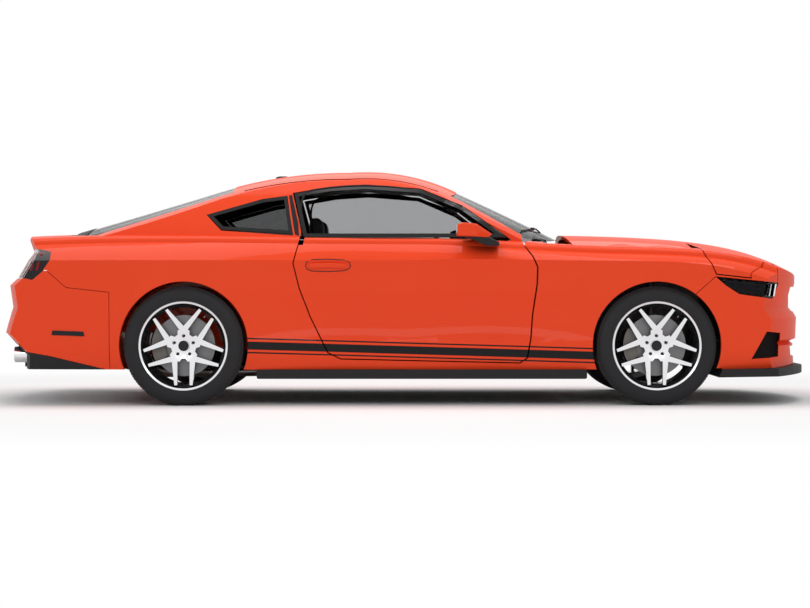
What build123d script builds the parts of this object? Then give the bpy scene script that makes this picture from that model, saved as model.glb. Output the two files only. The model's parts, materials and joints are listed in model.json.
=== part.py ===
from build123d import *
import math
import os

# Muscle car: a two-door fastback coupe, nose towards +X, left side +Y, up +Z.
# Origin: on the ground, below the middle of the car. Millimetres throughout.

# Driving dimensions of the whole car
LENGTH = 4827.0
WIDTH = 1915.0
HEIGHT = 1382.0
WHEELBASE = 2720.0
HALF_WIDTH = WIDTH / 2
FRONT_AXLE_X = 1443.5
REAR_AXLE_X = FRONT_AXLE_X - WHEELBASE
FRONT_TRACK = 1582.0
REAR_TRACK = 1648.0
OVERRUN = 60.0
SEAT = 0.3

# Tyre, rim and brake
TYRE_RADIUS = 343.0
TYRE_WIDTH = 255.0
RIM_RADIUS = 261.0
RIM_SEAT_RADIUS = 244.0
RIM_WIDTH = 236.0
BARREL_RADIUS = 222.0
BARREL_WALL = 8.0
SPOKE_COUNT = 5
SPOKE_DEPTH = 26.0
SPOKE_DISH = 22.0
SPOKE_TIP_WIDTH = 17.0
SPOKE_ROOT_WIDTH = 34.0
SPOKE_HALF_ANGLE = 25.0
SPOKE_FIRST_ANGLE = -90.0
HUB_RADIUS = 84.0
HUB_CAP_RADIUS = 31.0
HUB_CAP_RISE = 5.0
LUG_CIRCLE = 114.3
LUG_POCKET_RADIUS = 12.0
LUG_POCKET_DEPTH = 12.0
DISC_RADIUS = 176.0
DISC_THICKNESS = 28.0
DISC_HAT_RADIUS = 84.0
DISC_INSET = 10.0
AXLE_BORE_RADIUS = 27.0
AXLE_RADIUS = 26.0

# Skin, glass and shut lines
PANEL = 24.0
GLASS = 5.0
GLASS_INSET = 4.0
SHUT_GAP = 7.0
ROOF_WALL = 42.0
ROOF_EDGE_ROUND = 52.0
CROWN_RADIUS = 2400.0
CROWN_SPREAD = 72.0
NOSE_PLAN_RADIUS = 1600.0
TAIL_PLAN_RADIUS = 3000.0
CABIN_PLAN_RADIUS = 7000.0
CABIN_PLAN_X = -100.0
CABIN_PLAN_SPREAD = 44.0
BELT_HALF = 835.0
BELT_Z = 940.0
FOOT_DEPTH = 45.0
ROOF_EDGE_HALF = 565.0
ROOF_EDGE_Z = 1330.0
SIDE_BARREL = 14.0

# Wheel arches and wells
ARCH_RADIUS = 370.0
ARCH_SKIN_Y = 872.0
FRONT_WELL_RADIUS = 402.0
FRONT_WELL_INNER_Y = 468.0
REAR_WELL_RADIUS = 378.0
REAR_WELL_INNER_Y = 640.0

# Doors
DOOR_INNER_Y = 792.0
DOOR_HINGE_X = 674.0
DOOR_HINGE_Y = 878.0
DOOR_HINGE_CLEAR = 97.5
DOOR_HINGE_HEIGHTS = (350.0, 742.0)
DOOR_EYE_RADIUS = 8.0
DOOR_PIN_RADIUS = 4.0
DOOR_EYE_HEIGHT = 18.0
DOOR_POCKET_RADIUS = 74.0
DOOR_SKIN = 5.0
DOOR_FRONT_RELIEF = 1.5
DOOR_POCKET_GAP = 1.0
DOOR_TOP_Z = 966.0

# Hood and its hinges
HOOD_REAR_X = 935.0
HOOD_FRONT_X = 2290.0
HOOD_HALF_WIDTH = 768.0
HOOD_REAR_RADIUS = 185.0
HOOD_HINGE_X = 785.0
HOOD_HINGE_Z = 884.0
HOOD_ARM_Y = 600.0
HOOD_ARM_WIDTH = 14.0
HOOD_EYE_RADIUS = 15.0
HOOD_PIN_RADIUS = 8.0
HOOD_WELL_HALF_WIDTH = 20.0

# Deck lid and its gooseneck hinges
LID_FRONT_X = -1990.0
LID_HALF_WIDTH = 575.0
LID_BOTTOM_Z = 790.0
LID_HINGE_X = -1805.0
LID_HINGE_Z = 950.0
LID_ARM_Y = 470.0
LID_ARM_WIDTH = 12.0
LID_ARM_DEPTH = 20.0
LID_NECK_RADIUS = 212.0
LID_EYE_RADIUS = 14.0
LID_PIN_RADIUS = 7.0

# Cabin, trunk and engine bay
FLOOR_Z = 206.0
FLOOR_TOP_Z = 250.0
SKIRT_BOTTOM_Z = 152.0
CABIN_FRONT_X = 760.0
CABIN_REAR_X = -1180.0
FIREWALL = 40.0
TRUNK_HALF_WIDTH = 590.0
TRUNK_FRONT_X = -1260.0
TRUNK_REAR_X = -2200.0
TRUNK_FLOOR_Z = 440.0
SHELF_Z = 925.0
BAY_HALF_WIDTH = 655.0
BAY_FRONT_X = 2215.0
TUNNEL_HALF_WIDTH = 130.0
TUNNEL_TOP_Z = 420.0
SHEET = 12.0

# Further sizes of the pieces, each group beside its piece's name
# Doors' front box and the outside mirrors
DOOR_STEP = 26.0
DOOR_STEP_Y = 850.0
DOOR_FRONT_BOX = 30.0
MIRROR_Y = 905.0
MIRROR_WIDTH = 190.0
MIRROR_SWEEP = 90.0
MIRROR_ROUND = 12.0
MIRROR_FOOT_Y = 812.0
# Body frame, engine bay and struts
DITCH_Y = 545.0
SMALL_SOLID = 1.0e6
BODY_FRONT_X = 925.0
FLOOR_HALF_WIDTH = 700.0
GLASS_FRONT_X = 150.0
COWL_REAR_X = 800.0
COWL_TOP_Z = 905.0
COWL_HALF_WIDTH = 745.0
COWL_GLASS_Z = 962.0
RAIL_Z = 240.0
RAIL_Y = 455.0
RAIL_WIDTH = 60.0
APRON_TOP_Z = 880.0
TOWER_RADIUS = 62.0
TOWER_BASE_Z = 690.0
STRUT_Y = 585.0
STRUT_RADIUS = 25.0
SUPPORT_Z = 640.0
STAY_Z = 420.0
HOOD_ARM_FOOT = 110.0
LID_NECK_END_ANGLE = 250.0
LAMP_INNER_Y = 590.0
LAMP_DEPTH = 40.0
FOG_INNER_Y = 640.0
SPLITTER_REAR_X = 1765.0
SPLITTER_BOTTOM_Z = 160.0
SPLITTER_TIP_Z = 170.0
SPLITTER_HALF_WIDTH = 900.0
SKIRT_REAR_X = -859.0
SKIRT_FRONT_X = 1043.0
SKIRT_HALF_WIDTH = 892.0
# Engine, drive line and exhaust
ENGINE_REAR_X = 960.0
ENGINE_FRONT_X = 1760.0
ENGINE_HALF_WIDTH = 330.0
ENGINE_TOP_Z = 800.0
PIPE_Y = 60.0
PIPE_Z = 300.0
PIPE_RADIUS = 32.0
PIPE_LOW_Z = 168.0
MUFFLER_X = -2060.0
MUFFLER_LENGTH = 260.0
MUFFLER_HALF = 120.0
TIP_X = -2395.0
TIP_Y = 600.0
TIP_Z = 285.0
TIP_RADIUS = 46.0
FLOOR_SHEET = 30.0
BEAM_HALF = 82.0
REAR_BEAM_Y = 560.0
DRIVE_HALF = 82.0
SHAFT_RADIUS = 18.0
# Knuckles and calipers
KNUCKLE_RADIUS = 62.0
KNUCKLE_DEPTH = 30.0
KNUCKLE_ARM = 70.0
KINGPIN_Y = 738.0
KINGPIN_REACH = 128.0
BALL_PIN_RADIUS = 8.0
CALIPER_GAP = 6.0
CALIPER_HALF_ANGLE = 32.0
CALIPER_REACH_SHARE = 0.62
TYRE_SHOULDER = 26.0
SPOKE_INSET = 16.0
SPOKE_SPLIT_SHARE = 0.34
SPOKE_HUB_SHARE = 0.86
# Cabin
SEAT_X = -420.0
SEAT_Y = 370.0
SEAT_Z = 330.0
SEAT_CUSHION = 500.0
SEAT_HEIGHT = 600.0
SEAT_THICK = 120.0
SEAT_HALF_WIDTH = 220.0
SEAT_LEAN_SHARE = 0.30
HEADREST_HEIGHT = 170.0
REAR_SEAT_X = -1000.0
REAR_SEAT_CUSHION = 380.0
REAR_SEAT_HEIGHT = 560.0
REAR_SEAT_HALF_WIDTH = 600.0
DASH_REAR_X = 330.0
DASH_TOP_Z = 878.0
DASH_LOW_Z = 600.0
DASH_HALF_WIDTH = 720.0
CONSOLE_HEIGHT = 210.0
STEER_X = 130.0
STEER_Z = 830.0
STEER_RADIUS = 175.0
STEER_GRIP = 15.0
STEER_HUB_RADIUS = 60.0
COLUMN_ANGLE = 22.0
COLUMN_RADIUS = 25.0
COLUMN_LENGTH = 420.0

# Body sections: half the section's width over its sill, the band under the door
# crease, the shoulder and the crown. Shares of LENGTH, HALF_WIDTH and HEIGHT.
# Columns: x, half width, floor z, waist inset, band inset, band top z,
# shoulder y, shoulder z, crown z.
STATION_SHARES = (
    (-0.5280, 0.915, 0.149, 0.012, 0.000, 0.595, 0.770, 0.672, 0.698),
    (-0.4765, 0.948, 0.149, 0.014, 0.000, 0.600, 0.798, 0.688, 0.712),
    (-0.3940, 0.976, 0.149, 0.018, 0.000, 0.604, 0.822, 0.700, 0.722),
    (-0.2645, 1.000, 0.149, 0.020, 0.000, 0.604, 0.846, 0.705, 0.722),
    (-0.1450, 0.976, 0.149, 0.045, 0.010, 0.604, 0.864, 0.700, 0.722),
    (0.0000, 0.966, 0.149, 0.050, 0.016, 0.604, 0.868, 0.696, 0.718),
    (0.1860, 0.966, 0.149, 0.045, 0.010, 0.604, 0.852, 0.668, 0.719),
    (0.2990, 0.977, 0.149, 0.020, 0.000, 0.600, 0.842, 0.656, 0.707),
    (0.4140, 0.957, 0.152, 0.012, 0.000, 0.545, 0.830, 0.612, 0.654),
    (0.4660, 0.940, 0.158, 0.010, 0.000, 0.475, 0.812, 0.546, 0.584),
    (0.5080, 0.922, 0.165, 0.008, 0.000, 0.400, 0.790, 0.455, 0.475),
)
SILL_TUCK_SHARE = 0.060
BULGE_INSET_SHARE = 0.018
BAND_DROP_SHARE = 0.042
BULGE_HEIGHT_SHARE = 0.28
WAIST_HEIGHT_SHARE = 0.50
MID_HEIGHT_SHARE = 0.78
SHOULDER_ROUND = 46.0
SOFT_BULGE = 7.0

# Nose on the centre line, shares of LENGTH and HEIGHT: (x, z) from top to bottom
NOSE_SHARES = (
    (0.4908, 0.800), (0.4908, 0.510), (0.4852, 0.405), (0.4930, 0.360),
    (0.4920, 0.269), (0.4842, 0.257), (0.4885, 0.245), (0.4904, 0.100),
)
# Tail on the centre line, shares of LENGTH and HEIGHT: (x, z) from top to bottom
TAIL_SHARES = (
    (-0.4680, 0.800), (-0.4685, 0.711), (-0.4707, 0.693), (-0.4655, 0.640),
    (-0.4732, 0.604), (-0.4848, 0.532), (-0.4949, 0.499), (-0.4912, 0.407),
    (-0.4974, 0.334), (-0.5000, 0.299), (-0.4860, 0.245), (-0.4771, 0.209),
    (-0.4771, 0.100),
)
# Top line of windshield, roof and rear window, shares of LENGTH and HEIGHT,
# as arcs through (start), (middle), (end) that follow on from each other.
TOP_SHARES = (
    (0.2010, 0.6835), (0.1150, 0.828), (0.0532, 0.9275),
    (0.0070, 0.979), (-0.0700, 0.997),
    (-0.1625, 0.9725), (-0.2395, 0.909),
    (-0.3320, 0.812), (-0.4300, 0.7140),
)


def place_x(share):
    """A place along the car from a share of its length."""
    return share * LENGTH


def place_z(share):
    """A height from a share of the car's height."""
    return share * HEIGHT


def side_face(points, corner_radius=0.0):
    """A face in the XZ plane from its corners, rounded where asked."""
    if corner_radius > 0:
        line = FilletPolyline(*points, radius=corner_radius, close=True)
    else:
        line = Polyline(*points, close=True)
    return make_face(line)


def side_solid(points, y_from, y_to, corner_radius=0.0):
    """An outline seen from the side, run from one Y to another."""
    face = Plane.XZ.offset(-y_from) * side_face(points, corner_radius)
    return extrude(face, amount=abs(y_to - y_from), dir=(0, math.copysign(1, y_to - y_from), 0))


def top_solid(points, z_from, z_to, corner_radius=0.0):
    """An outline seen from above, run from one height to another."""
    face = Plane.XY.offset(z_from) * side_face(points, corner_radius)
    return extrude(face, amount=z_to - z_from)


def front_solid(points, x_from, x_to, corner_radius=0.0):
    """An outline seen along the car, in (y, z), run from one X to another."""
    face = Plane.YZ.offset(x_from) * side_face(points, corner_radius)
    return extrude(face, amount=x_to - x_from)


def block(x_from, x_to, y_from, y_to, z_from, z_to):
    """A box between two corners."""
    size = Box(x_to - x_from, y_to - y_from, z_to - z_from)
    return Pos((x_from + x_to) / 2, (y_from + y_to) / 2, (z_from + z_to) / 2) * size


def y_rod(x, z, radius, y_from, y_to):
    """A round bar across the car."""
    bar = Rot(90, 0, 0) * Cylinder(radius, abs(y_to - y_from))
    return Pos(x, (y_from + y_to) / 2, z) * bar


def z_rod(x, y, radius, z_from, z_to):
    """A round upright bar."""
    return Pos(x, y, (z_from + z_to) / 2) * Cylinder(radius, abs(z_to - z_from))


def rod_between(start, end, radius):
    """A round bar from one point to another."""
    start, end = Vector(*start), Vector(*end)
    plane = Plane(origin=start, z_dir=end - start)
    return extrude(plane * Circle(radius), amount=(end - start).length)


def both_sides(shape):
    """The shape with its mirror image on the other side of the car."""
    return shape + mirror(shape, about=Plane.XZ)


def section_wire(x, right, crown_z):
    """A closed body section from its stretches on one side, each of two or
    three (y, z) points, with the floor line and the crown arc."""
    def stretch_edge(stretch, side):
        points = [(x, side * y, z) for y, z in stretch]
        if len(points) == 2:
            return Edge.make_line(*points)
        return Edge.make_three_point_arc(*points)

    first, last = right[0][0], right[-1][-1]
    edges = [Edge.make_line((x, -first[0], first[1]), (x, first[0], first[1]))]
    edges += [stretch_edge(stretch, 1) for stretch in right]
    edges.append(Edge.make_three_point_arc(
        (x, last[0], last[1]), (x, 0, crown_z), (x, -last[0], last[1])))
    edges += [stretch_edge(stretch[::-1], -1) for stretch in right[::-1]]
    return Wire(edges)


def bowed(start, end, bow):
    """Start, a middle point pushed out by the bow, and end, for an arc."""
    run_y, run_z = end[0] - start[0], end[1] - start[1]
    run = math.hypot(run_y, run_z)
    middle = ((start[0] + end[0]) / 2 + bow * run_z / run,
              (start[1] + end[1]) / 2 - bow * run_y / run)
    return (start, middle, end)


def station_numbers(row):
    """A row of the section table in millimetres."""
    x_share, half, floor, waist, band, band_top, shoulder_y, shoulder_z, crown = row
    return (place_x(x_share), half * HALF_WIDTH, place_z(floor), waist * HALF_WIDTH,
            band * HALF_WIDTH, place_z(band_top), shoulder_y * HALF_WIDTH,
            place_z(shoulder_z), place_z(crown))


def outer_section(row):
    """The painted skin's section at one station."""
    x, half, floor_z, waist, band, band_top, shoulder_y, shoulder_z, crown = station_numbers(row)
    band_low = band_top - place_z(BAND_DROP_SHARE)
    rise = band_low - floor_z
    sill = (half - SILL_TUCK_SHARE * HALF_WIDTH, floor_z)
    bulge = (half - BULGE_INSET_SHARE * HALF_WIDTH, floor_z + BULGE_HEIGHT_SHARE * rise)
    hollow = (half - waist, floor_z + WAIST_HEIGHT_SHARE * rise)
    middle = (half - band - SOFT_BULGE, floor_z + MID_HEIGHT_SHARE * rise)
    low = (half - band - SOFT_BULGE / 2, band_low)
    crease = (half, band_top)
    under_round = (shoulder_y + SHOULDER_ROUND / 5, shoulder_z - SHOULDER_ROUND * 3 / 4)
    in_round = (shoulder_y - SHOULDER_ROUND / 8, shoulder_z - SHOULDER_ROUND / 6)
    over_round = (shoulder_y - SHOULDER_ROUND, shoulder_z + SHOULDER_ROUND / 12)
    right = [bowed(sill, bulge, SOFT_BULGE), (bulge, hollow, middle), bowed(middle, low, SOFT_BULGE / 4),
             (low, crease), bowed(crease, under_round, SOFT_BULGE), (under_round, in_round, over_round)]
    return section_wire(x, right, crown)


def inner_section(row, inset):
    """A plainer section, inside the skin by the inset."""
    x, half, floor_z, waist, band, band_top, shoulder_y, shoulder_z, crown = station_numbers(row)
    slim = half - band - waist - inset
    sill = (slim - SILL_TUCK_SHARE * HALF_WIDTH, floor_z + inset)
    bulge = (slim, floor_z + inset + (band_top - floor_z) * BULGE_HEIGHT_SHARE)
    crease = (half - band - SOFT_BULGE - inset, band_top - inset / 2)
    shoulder = (shoulder_y - inset * 3 / 2, shoulder_z - inset)
    right = [(sill, bulge), (bulge, crease), (crease, shoulder)]
    return section_wire(x, right, crown - inset)


def nose_cutter(inset=0.0):
    """What lies ahead of the nose, whose profile turns about an upright axis."""
    centre = place_x(NOSE_SHARES[3][0]) - NOSE_PLAN_RADIUS
    rim = [(place_x(x) - centre - inset, place_z(z)) for x, z in NOSE_SHARES]
    far = NOSE_PLAN_RADIUS * 2
    points = rim + [(far, rim[-1][1]), (far, rim[0][1])]
    ring = revolve(Plane.XZ * side_face(points), axis=Axis.Z, revolution_arc=90)
    return Pos(centre, 0, 0) * Rot(0, 0, -45) * ring


def tail_cutter(inset=0.0):
    """What lies behind the tail, whose profile turns about an upright axis."""
    centre = place_x(TAIL_SHARES[9][0]) + TAIL_PLAN_RADIUS
    rim = [(centre - place_x(x) - inset, place_z(z)) for x, z in TAIL_SHARES]
    far = TAIL_PLAN_RADIUS * 5 / 4
    points = rim + [(far, rim[-1][1]), (far, rim[0][1])]
    ring = revolve(Plane.XZ * side_face(points), axis=Axis.Z, revolution_arc=60)
    return Pos(centre, 0, 0) * Rot(0, 0, 150) * ring


def lower_form():
    """The whole painted form below the windows, solid."""
    form = Solid.make_loft([outer_section(row) for row in STATION_SHARES], ruled=False)
    return Part() + form - nose_cutter() - tail_cutter()


def lower_inner(inset):
    """The same form inside the skin."""
    rows = STATION_SHARES
    form = Solid.make_loft([inner_section(row, inset) for row in rows], ruled=False)
    return Part() + form - nose_cutter(inset) - tail_cutter(inset)


def top_profile_form(inset):
    """Windshield, roof and rear window turned about an axis along the car."""
    points = [(place_x(x), place_z(z) - inset) for x, z in TOP_SHARES]
    axis_z = HEIGHT - CROWN_RADIUS
    edges = [Edge.make_three_point_arc(*[(x, 0, z) for x, z in points[first:first + 3]])
             for first in range(0, len(points) - 1, 2)]
    base_z = BELT_Z - FOOT_DEPTH
    corners = [(points[-1][0], 0, points[-1][1]), (points[-1][0], 0, base_z),
               (points[0][0], 0, base_z), (points[0][0], 0, points[0][1])]
    edges += [Edge.make_line(a, b) for a, b in zip(corners, corners[1:])]
    face = Face(Wire(edges))
    axis = Axis((0, 0, axis_z), (1, 0, 0))
    turned = revolve(face, axis=axis, revolution_arc=CROWN_SPREAD)
    return turned.rotate(axis, -CROWN_SPREAD / 2)


def cabin_side_form(inset):
    """One side of the cabin, leaning in, turned about a far upright axis."""
    centre_y = BELT_HALF - CABIN_PLAN_RADIUS
    low = (BELT_HALF - inset, BELT_Z)
    high = (ROOF_EDGE_HALF - inset, ROOF_EDGE_Z)
    lean = (low[0] - high[0]) / (high[1] - low[1])
    drop = 2 * FOOT_DEPTH
    foot = (low[0] + lean * drop, BELT_Z - drop)
    arc = bowed(low, high, SIDE_BARREL)
    head = (high[0] - lean * ROOF_WALL * 4, high[1] + ROOF_WALL * 4)
    outer = [Edge.make_line((0, foot[0], foot[1]), (0, low[0], low[1])),
             Edge.make_three_point_arc(*[(0, y, z) for y, z in arc]),
             Edge.make_line((0, high[0], high[1]), (0, head[0], head[1])),
             Edge.make_line((0, head[0], head[1]), (0, -HALF_WIDTH, head[1])),
             Edge.make_line((0, -HALF_WIDTH, head[1]), (0, -HALF_WIDTH, foot[1])),
             Edge.make_line((0, -HALF_WIDTH, foot[1]), (0, foot[0], foot[1]))]
    face = Face(Wire(outer))
    axis = Axis((0, centre_y, 0), (0, 0, 1))
    turned = revolve(face, axis=axis, revolution_arc=CABIN_PLAN_SPREAD)
    return Pos(CABIN_PLAN_X, 0, 0) * turned.rotate(axis, -CABIN_PLAN_SPREAD / 2)


def cabin_form(inset=0.0):
    """Roof, pillars and glass as one solid, in from the outside by the inset."""
    side = cabin_side_form(inset)
    return top_profile_form(inset) & side & mirror(side, about=Plane.XZ)


# Shut lines seen from the side: shares of LENGTH and HEIGHT
DOOR_SHARES = (
    (-0.1225, 0.760), (-0.1342, 0.590), (-0.1268, 0.486), (-0.1141, 0.368),
    (-0.0930, 0.220), (-0.0779, 0.193), (0.1363, 0.176), (0.1450, 0.197),
    (0.1494, 0.286), (0.1514, 0.375), (0.1566, 0.509), (0.1572, 0.575),
    (0.1514, 0.620), (0.1425, 0.665), (0.1380, 0.760),
)
HOOD_SIDE_SHARES = (
    (0.3400, 0.820), (0.3400, 0.690), (0.3553, 0.655), (0.3692, 0.546),
    (0.4485, 0.515), (0.4900, 0.500), (0.4900, 0.820),
)
FENDER_SHARES = (
    (0.1400, 0.100), (0.3300, 0.100), (0.3300, 0.420), (0.3677, 0.5365), (0.4460, 0.5060), (0.4470, 0.800),
    (0.1400, 0.800),
)
HEADLAMP_SHARES = (
    (0.3677, 0.537), (0.4480, 0.509), (0.4390, 0.443), (0.3967, 0.463), (0.3800, 0.500),
)
REAR_BUMPER_SHARES = (
    (-0.5200, 0.563), (-0.4273, 0.560), (-0.4040, 0.489), (-0.3530, 0.470), (-0.3530, 0.080), (-0.5200, 0.080),
)
VALANCE_SHARES = (
    (-0.5200, 0.290), (-0.4810, 0.290), (-0.4530, 0.222), (-0.4250, 0.205), (-0.3530, 0.145),
    (-0.3530, 0.050), (-0.5200, 0.050),
)
TAIL_LAMP_SHARES = (
    (-0.5200, 0.650), (-0.4370, 0.650), (-0.4235, 0.640), (-0.4230, 0.605), (-0.4330, 0.555),
    (-0.4444, 0.522), (-0.4520, 0.528), (-0.5200, 0.528),
)
DOOR_GLASS_SHARES = (
    (-0.1225, 0.6935), (-0.1360, 0.888), (-0.0930, 0.914), (-0.0495, 0.9240),
    (0.0180, 0.906), (0.0690, 0.832), (0.1240, 0.6935),
)
QUARTER_GLASS_SHARES = (
    (-0.1350, 0.708), (-0.1440, 0.880), (-0.1740, 0.866), (-0.2420, 0.798), (-0.2230, 0.730),
)
# Windshield opening seen from the front, shares of HALF_WIDTH and HEIGHT
WINDSHIELD_SHARES = ((0.000, 0.920), (0.545, 0.882), (0.690, 0.693), (-0.690, 0.693), (-0.545, 0.882))
# Rear window opening seen from above, shares of LENGTH and HALF_WIDTH
REAR_WINDOW_SHARES = ((-0.2120, 0.520), (-0.3930, 0.570), (-0.3930, -0.570), (-0.2120, -0.520))
# Mirror cap and its arm seen from the side, in millimetres: (x, z)
MIRROR_SIDE = (
    (290.0, 974.0), (292.0, 1036.0), (322.0, 1048.0), (400.0, 1040.0), (492.0, 984.0), (470.0, 966.0),
)
MIRROR_ARM = ((330.0, 970.0), (478.0, 970.0), (534.0, 938.0), (534.0, 918.0), (462.0, 918.0), (392.0, 950.0))
# Grille openings seen from the front, shares of HALF_WIDTH and HEIGHT
UPPER_GRILLE_SHARES = (
    (-0.540, 0.492), (0.540, 0.492), (0.560, 0.455), (0.430, 0.385), (-0.430, 0.385), (-0.560, 0.455),
)
LOWER_GRILLE_SHARES = ((-0.520, 0.238), (0.520, 0.238), (0.500, 0.190), (-0.500, 0.190))
FOG_SHARES = ((0.4120, 0.192), (0.4480, 0.200), (0.4500, 0.300), (0.4300, 0.308))

WINDOW_GAP = 6.0
ARCH_LIP = 10.0
GRILLE_BACK = 55.0
GRILLE_FRONT = 22.0
GRILLE_BAR = 9.0
GRILLE_PITCH = 34.0
GRILLE_POST_PITCH = 82.0


def scaled(shares, across, upward):
    """Corners in millimetres from a table of shares."""
    return [(a * across, b * upward) for a, b in shares]


def grown(points, grow):
    """A face from corners, grown or shrunk all round."""
    face = side_face(points)
    return face if grow == 0 else offset(face, amount=grow, kind=Kind.INTERSECTION)


def side_region(shares, grow, y_from, y_to):
    """A region seen from the side, from a table of shares."""
    face = Plane.XZ.offset(-y_from) * grown(scaled(shares, LENGTH, HEIGHT), grow)
    return extrude(face, amount=y_to - y_from, dir=(0, 1, 0))


def front_region(shares, grow, x_from, x_to):
    """A region seen from the front, from a table of shares."""
    face = Plane.YZ.offset(x_from) * grown(scaled(shares, HALF_WIDTH, HEIGHT), grow)
    return extrude(face, amount=x_to - x_from)


def hood_region(grow):
    """Everything that the hood covers, seen from above and from the side."""
    half = HOOD_HALF_WIDTH + grow
    rear = block(HOOD_HINGE_X, place_x(HOOD_SIDE_SHARES[1][0]) + PANEL, -half, half,
                 HOOD_HINGE_Z - HOOD_EYE_RADIUS, HEIGHT)
    front = side_region(HOOD_SIDE_SHARES, grow, -HALF_WIDTH, HALF_WIDTH)
    centre = place_x(NOSE_SHARES[3][0]) - NOSE_PLAN_RADIUS
    arc = z_rod(centre, 0, HOOD_FRONT_X - centre + grow, 0, HEIGHT)
    hinge_arc = y_rod(HOOD_HINGE_X, HOOD_HINGE_Z, HOOD_REAR_RADIUS - grow, -WIDTH, WIDTH)
    return ((rear + front) & arc) - hinge_arc


def lid_region(grow):
    """Everything that the deck lid covers; its front edge curves about its hinge."""
    region = block(-LENGTH, LID_HINGE_X, -LID_HALF_WIDTH - grow, LID_HALF_WIDTH + grow,
                   LID_BOTTOM_Z - grow, HEIGHT)
    return region - y_rod(LID_HINGE_X, LID_HINGE_Z, LID_HINGE_X - LID_FRONT_X - grow, -WIDTH, WIDTH)


def door_region(grow):
    """The left door's outline through the whole side wall."""
    return side_region(DOOR_SHARES, grow, DOOR_INNER_Y - OVERRUN, HALF_WIDTH + OVERRUN)


def wheel_wells():
    """The room for the four wheels, with the round openings in the skin."""
    front = y_rod(FRONT_AXLE_X, TYRE_RADIUS, FRONT_WELL_RADIUS, FRONT_WELL_INNER_Y, ARCH_SKIN_Y)
    rear = y_rod(REAR_AXLE_X, TYRE_RADIUS, REAR_WELL_RADIUS, REAR_WELL_INNER_Y, ARCH_SKIN_Y)
    outer_y = HALF_WIDTH + OVERRUN
    front += y_rod(FRONT_AXLE_X, TYRE_RADIUS, ARCH_RADIUS, FRONT_WELL_INNER_Y, outer_y)
    rear += y_rod(REAR_AXLE_X, TYRE_RADIUS, ARCH_RADIUS, REAR_WELL_INNER_Y, outer_y)
    return both_sides(front + rear)


def well_covers():
    """The rear wheels' room with the sheet over it, kept out of cabin and trunk."""
    return both_sides(y_rod(REAR_AXLE_X, TYRE_RADIUS, REAR_WELL_RADIUS + SHEET, REAR_WELL_INNER_Y - SHEET, WIDTH))


def cabin_hollow(cabin_inside):
    """The room inside the cabin, from the floor up to the roof lining."""
    room = block(CABIN_REAR_X, CABIN_FRONT_X, -DOOR_INNER_Y, DOOR_INNER_Y, FLOOR_TOP_Z, BELT_Z - FOOT_DEPTH + SEAT)
    glass_room = cabin_inside & block(-LENGTH, LENGTH, -DOOR_INNER_Y, DOOR_INNER_Y, 0, 2 * HEIGHT)
    return room + glass_room - well_covers()


def trunk_hollow():
    """The load space behind the rear seat, up to the underside of the shelf and lid."""
    room = block(TRUNK_REAR_X, TRUNK_FRONT_X, -TRUNK_HALF_WIDTH, TRUNK_HALF_WIDTH, TRUNK_FLOOR_Z, SHELF_Z)
    sides = both_sides(block(TRUNK_REAR_X, REAR_AXLE_X - REAR_WELL_RADIUS - 2 * PANEL, 0, LID_HALF_WIDTH,
                             TRUNK_FLOOR_Z, SHELF_Z))
    hinge_room = block(LID_FRONT_X - OVERRUN, LID_HINGE_X + LID_NECK_RADIUS / 2, -TRUNK_HALF_WIDTH,
                       TRUNK_HALF_WIDTH, SHELF_Z - SEAT, LID_HINGE_Z + 2 * LID_EYE_RADIUS)
    return room + sides + (hinge_room & cabin_form(PANEL)) - well_covers()


def glass_skin(inset, thickness, inside=0.0):
    """A thin skin that follows the cabin's outside, in by the inset."""
    return cabin_form(inset - inside) - cabin_form(inset + thickness + inside)


class Forms:
    """The large forms that several pieces are cut from, each made once."""

    def __init__(self):
        self.lower = lower_form()
        self.inner = lower_inner(PANEL)
        self.cabin = cabin_form()
        self.cabin_inside = cabin_form(ROOF_WALL)
        self.glass = glass_skin(GLASS_INSET, GLASS)
        self.wells = wheel_wells()
        self.room = cabin_hollow(self.cabin_inside)
        self.wall = self.lower - self.inner
        self.inner_loose = lower_inner(PANEL + SEAT)
        self.under_lids = lower_inner(PANEL + WINDOW_GAP)
        self.behind_skin = lower_inner(DOOR_SKIN)
        self.lamp_back = lower_inner(LAMP_DEPTH)
        self.behind_lip = Pos(0, -DOOR_SKIN, -DOOR_SKIN) * self.lower


def door_hinge_sweep(radius):
    """The room that a door's leading edge turns through, left side."""
    return z_rod(DOOR_HINGE_X, DOOR_HINGE_Y, radius, FLOOR_Z, DOOR_TOP_Z + OVERRUN)


def door_eyes(grow_radius, grow_height, bore):
    """The upright hinge eyes of the left door at both heights."""
    eyes = Part()
    for height in DOOR_HINGE_HEIGHTS:
        half = DOOR_EYE_HEIGHT / 2 + grow_height
        eye = z_rod(DOOR_HINGE_X, DOOR_HINGE_Y, DOOR_EYE_RADIUS + grow_radius, height - half, height + half)
        if bore:
            eye -= z_rod(DOOR_HINGE_X, DOOR_HINGE_Y, bore, height - 2 * half, height + 2 * half)
        eyes += eye
    return eyes


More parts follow.
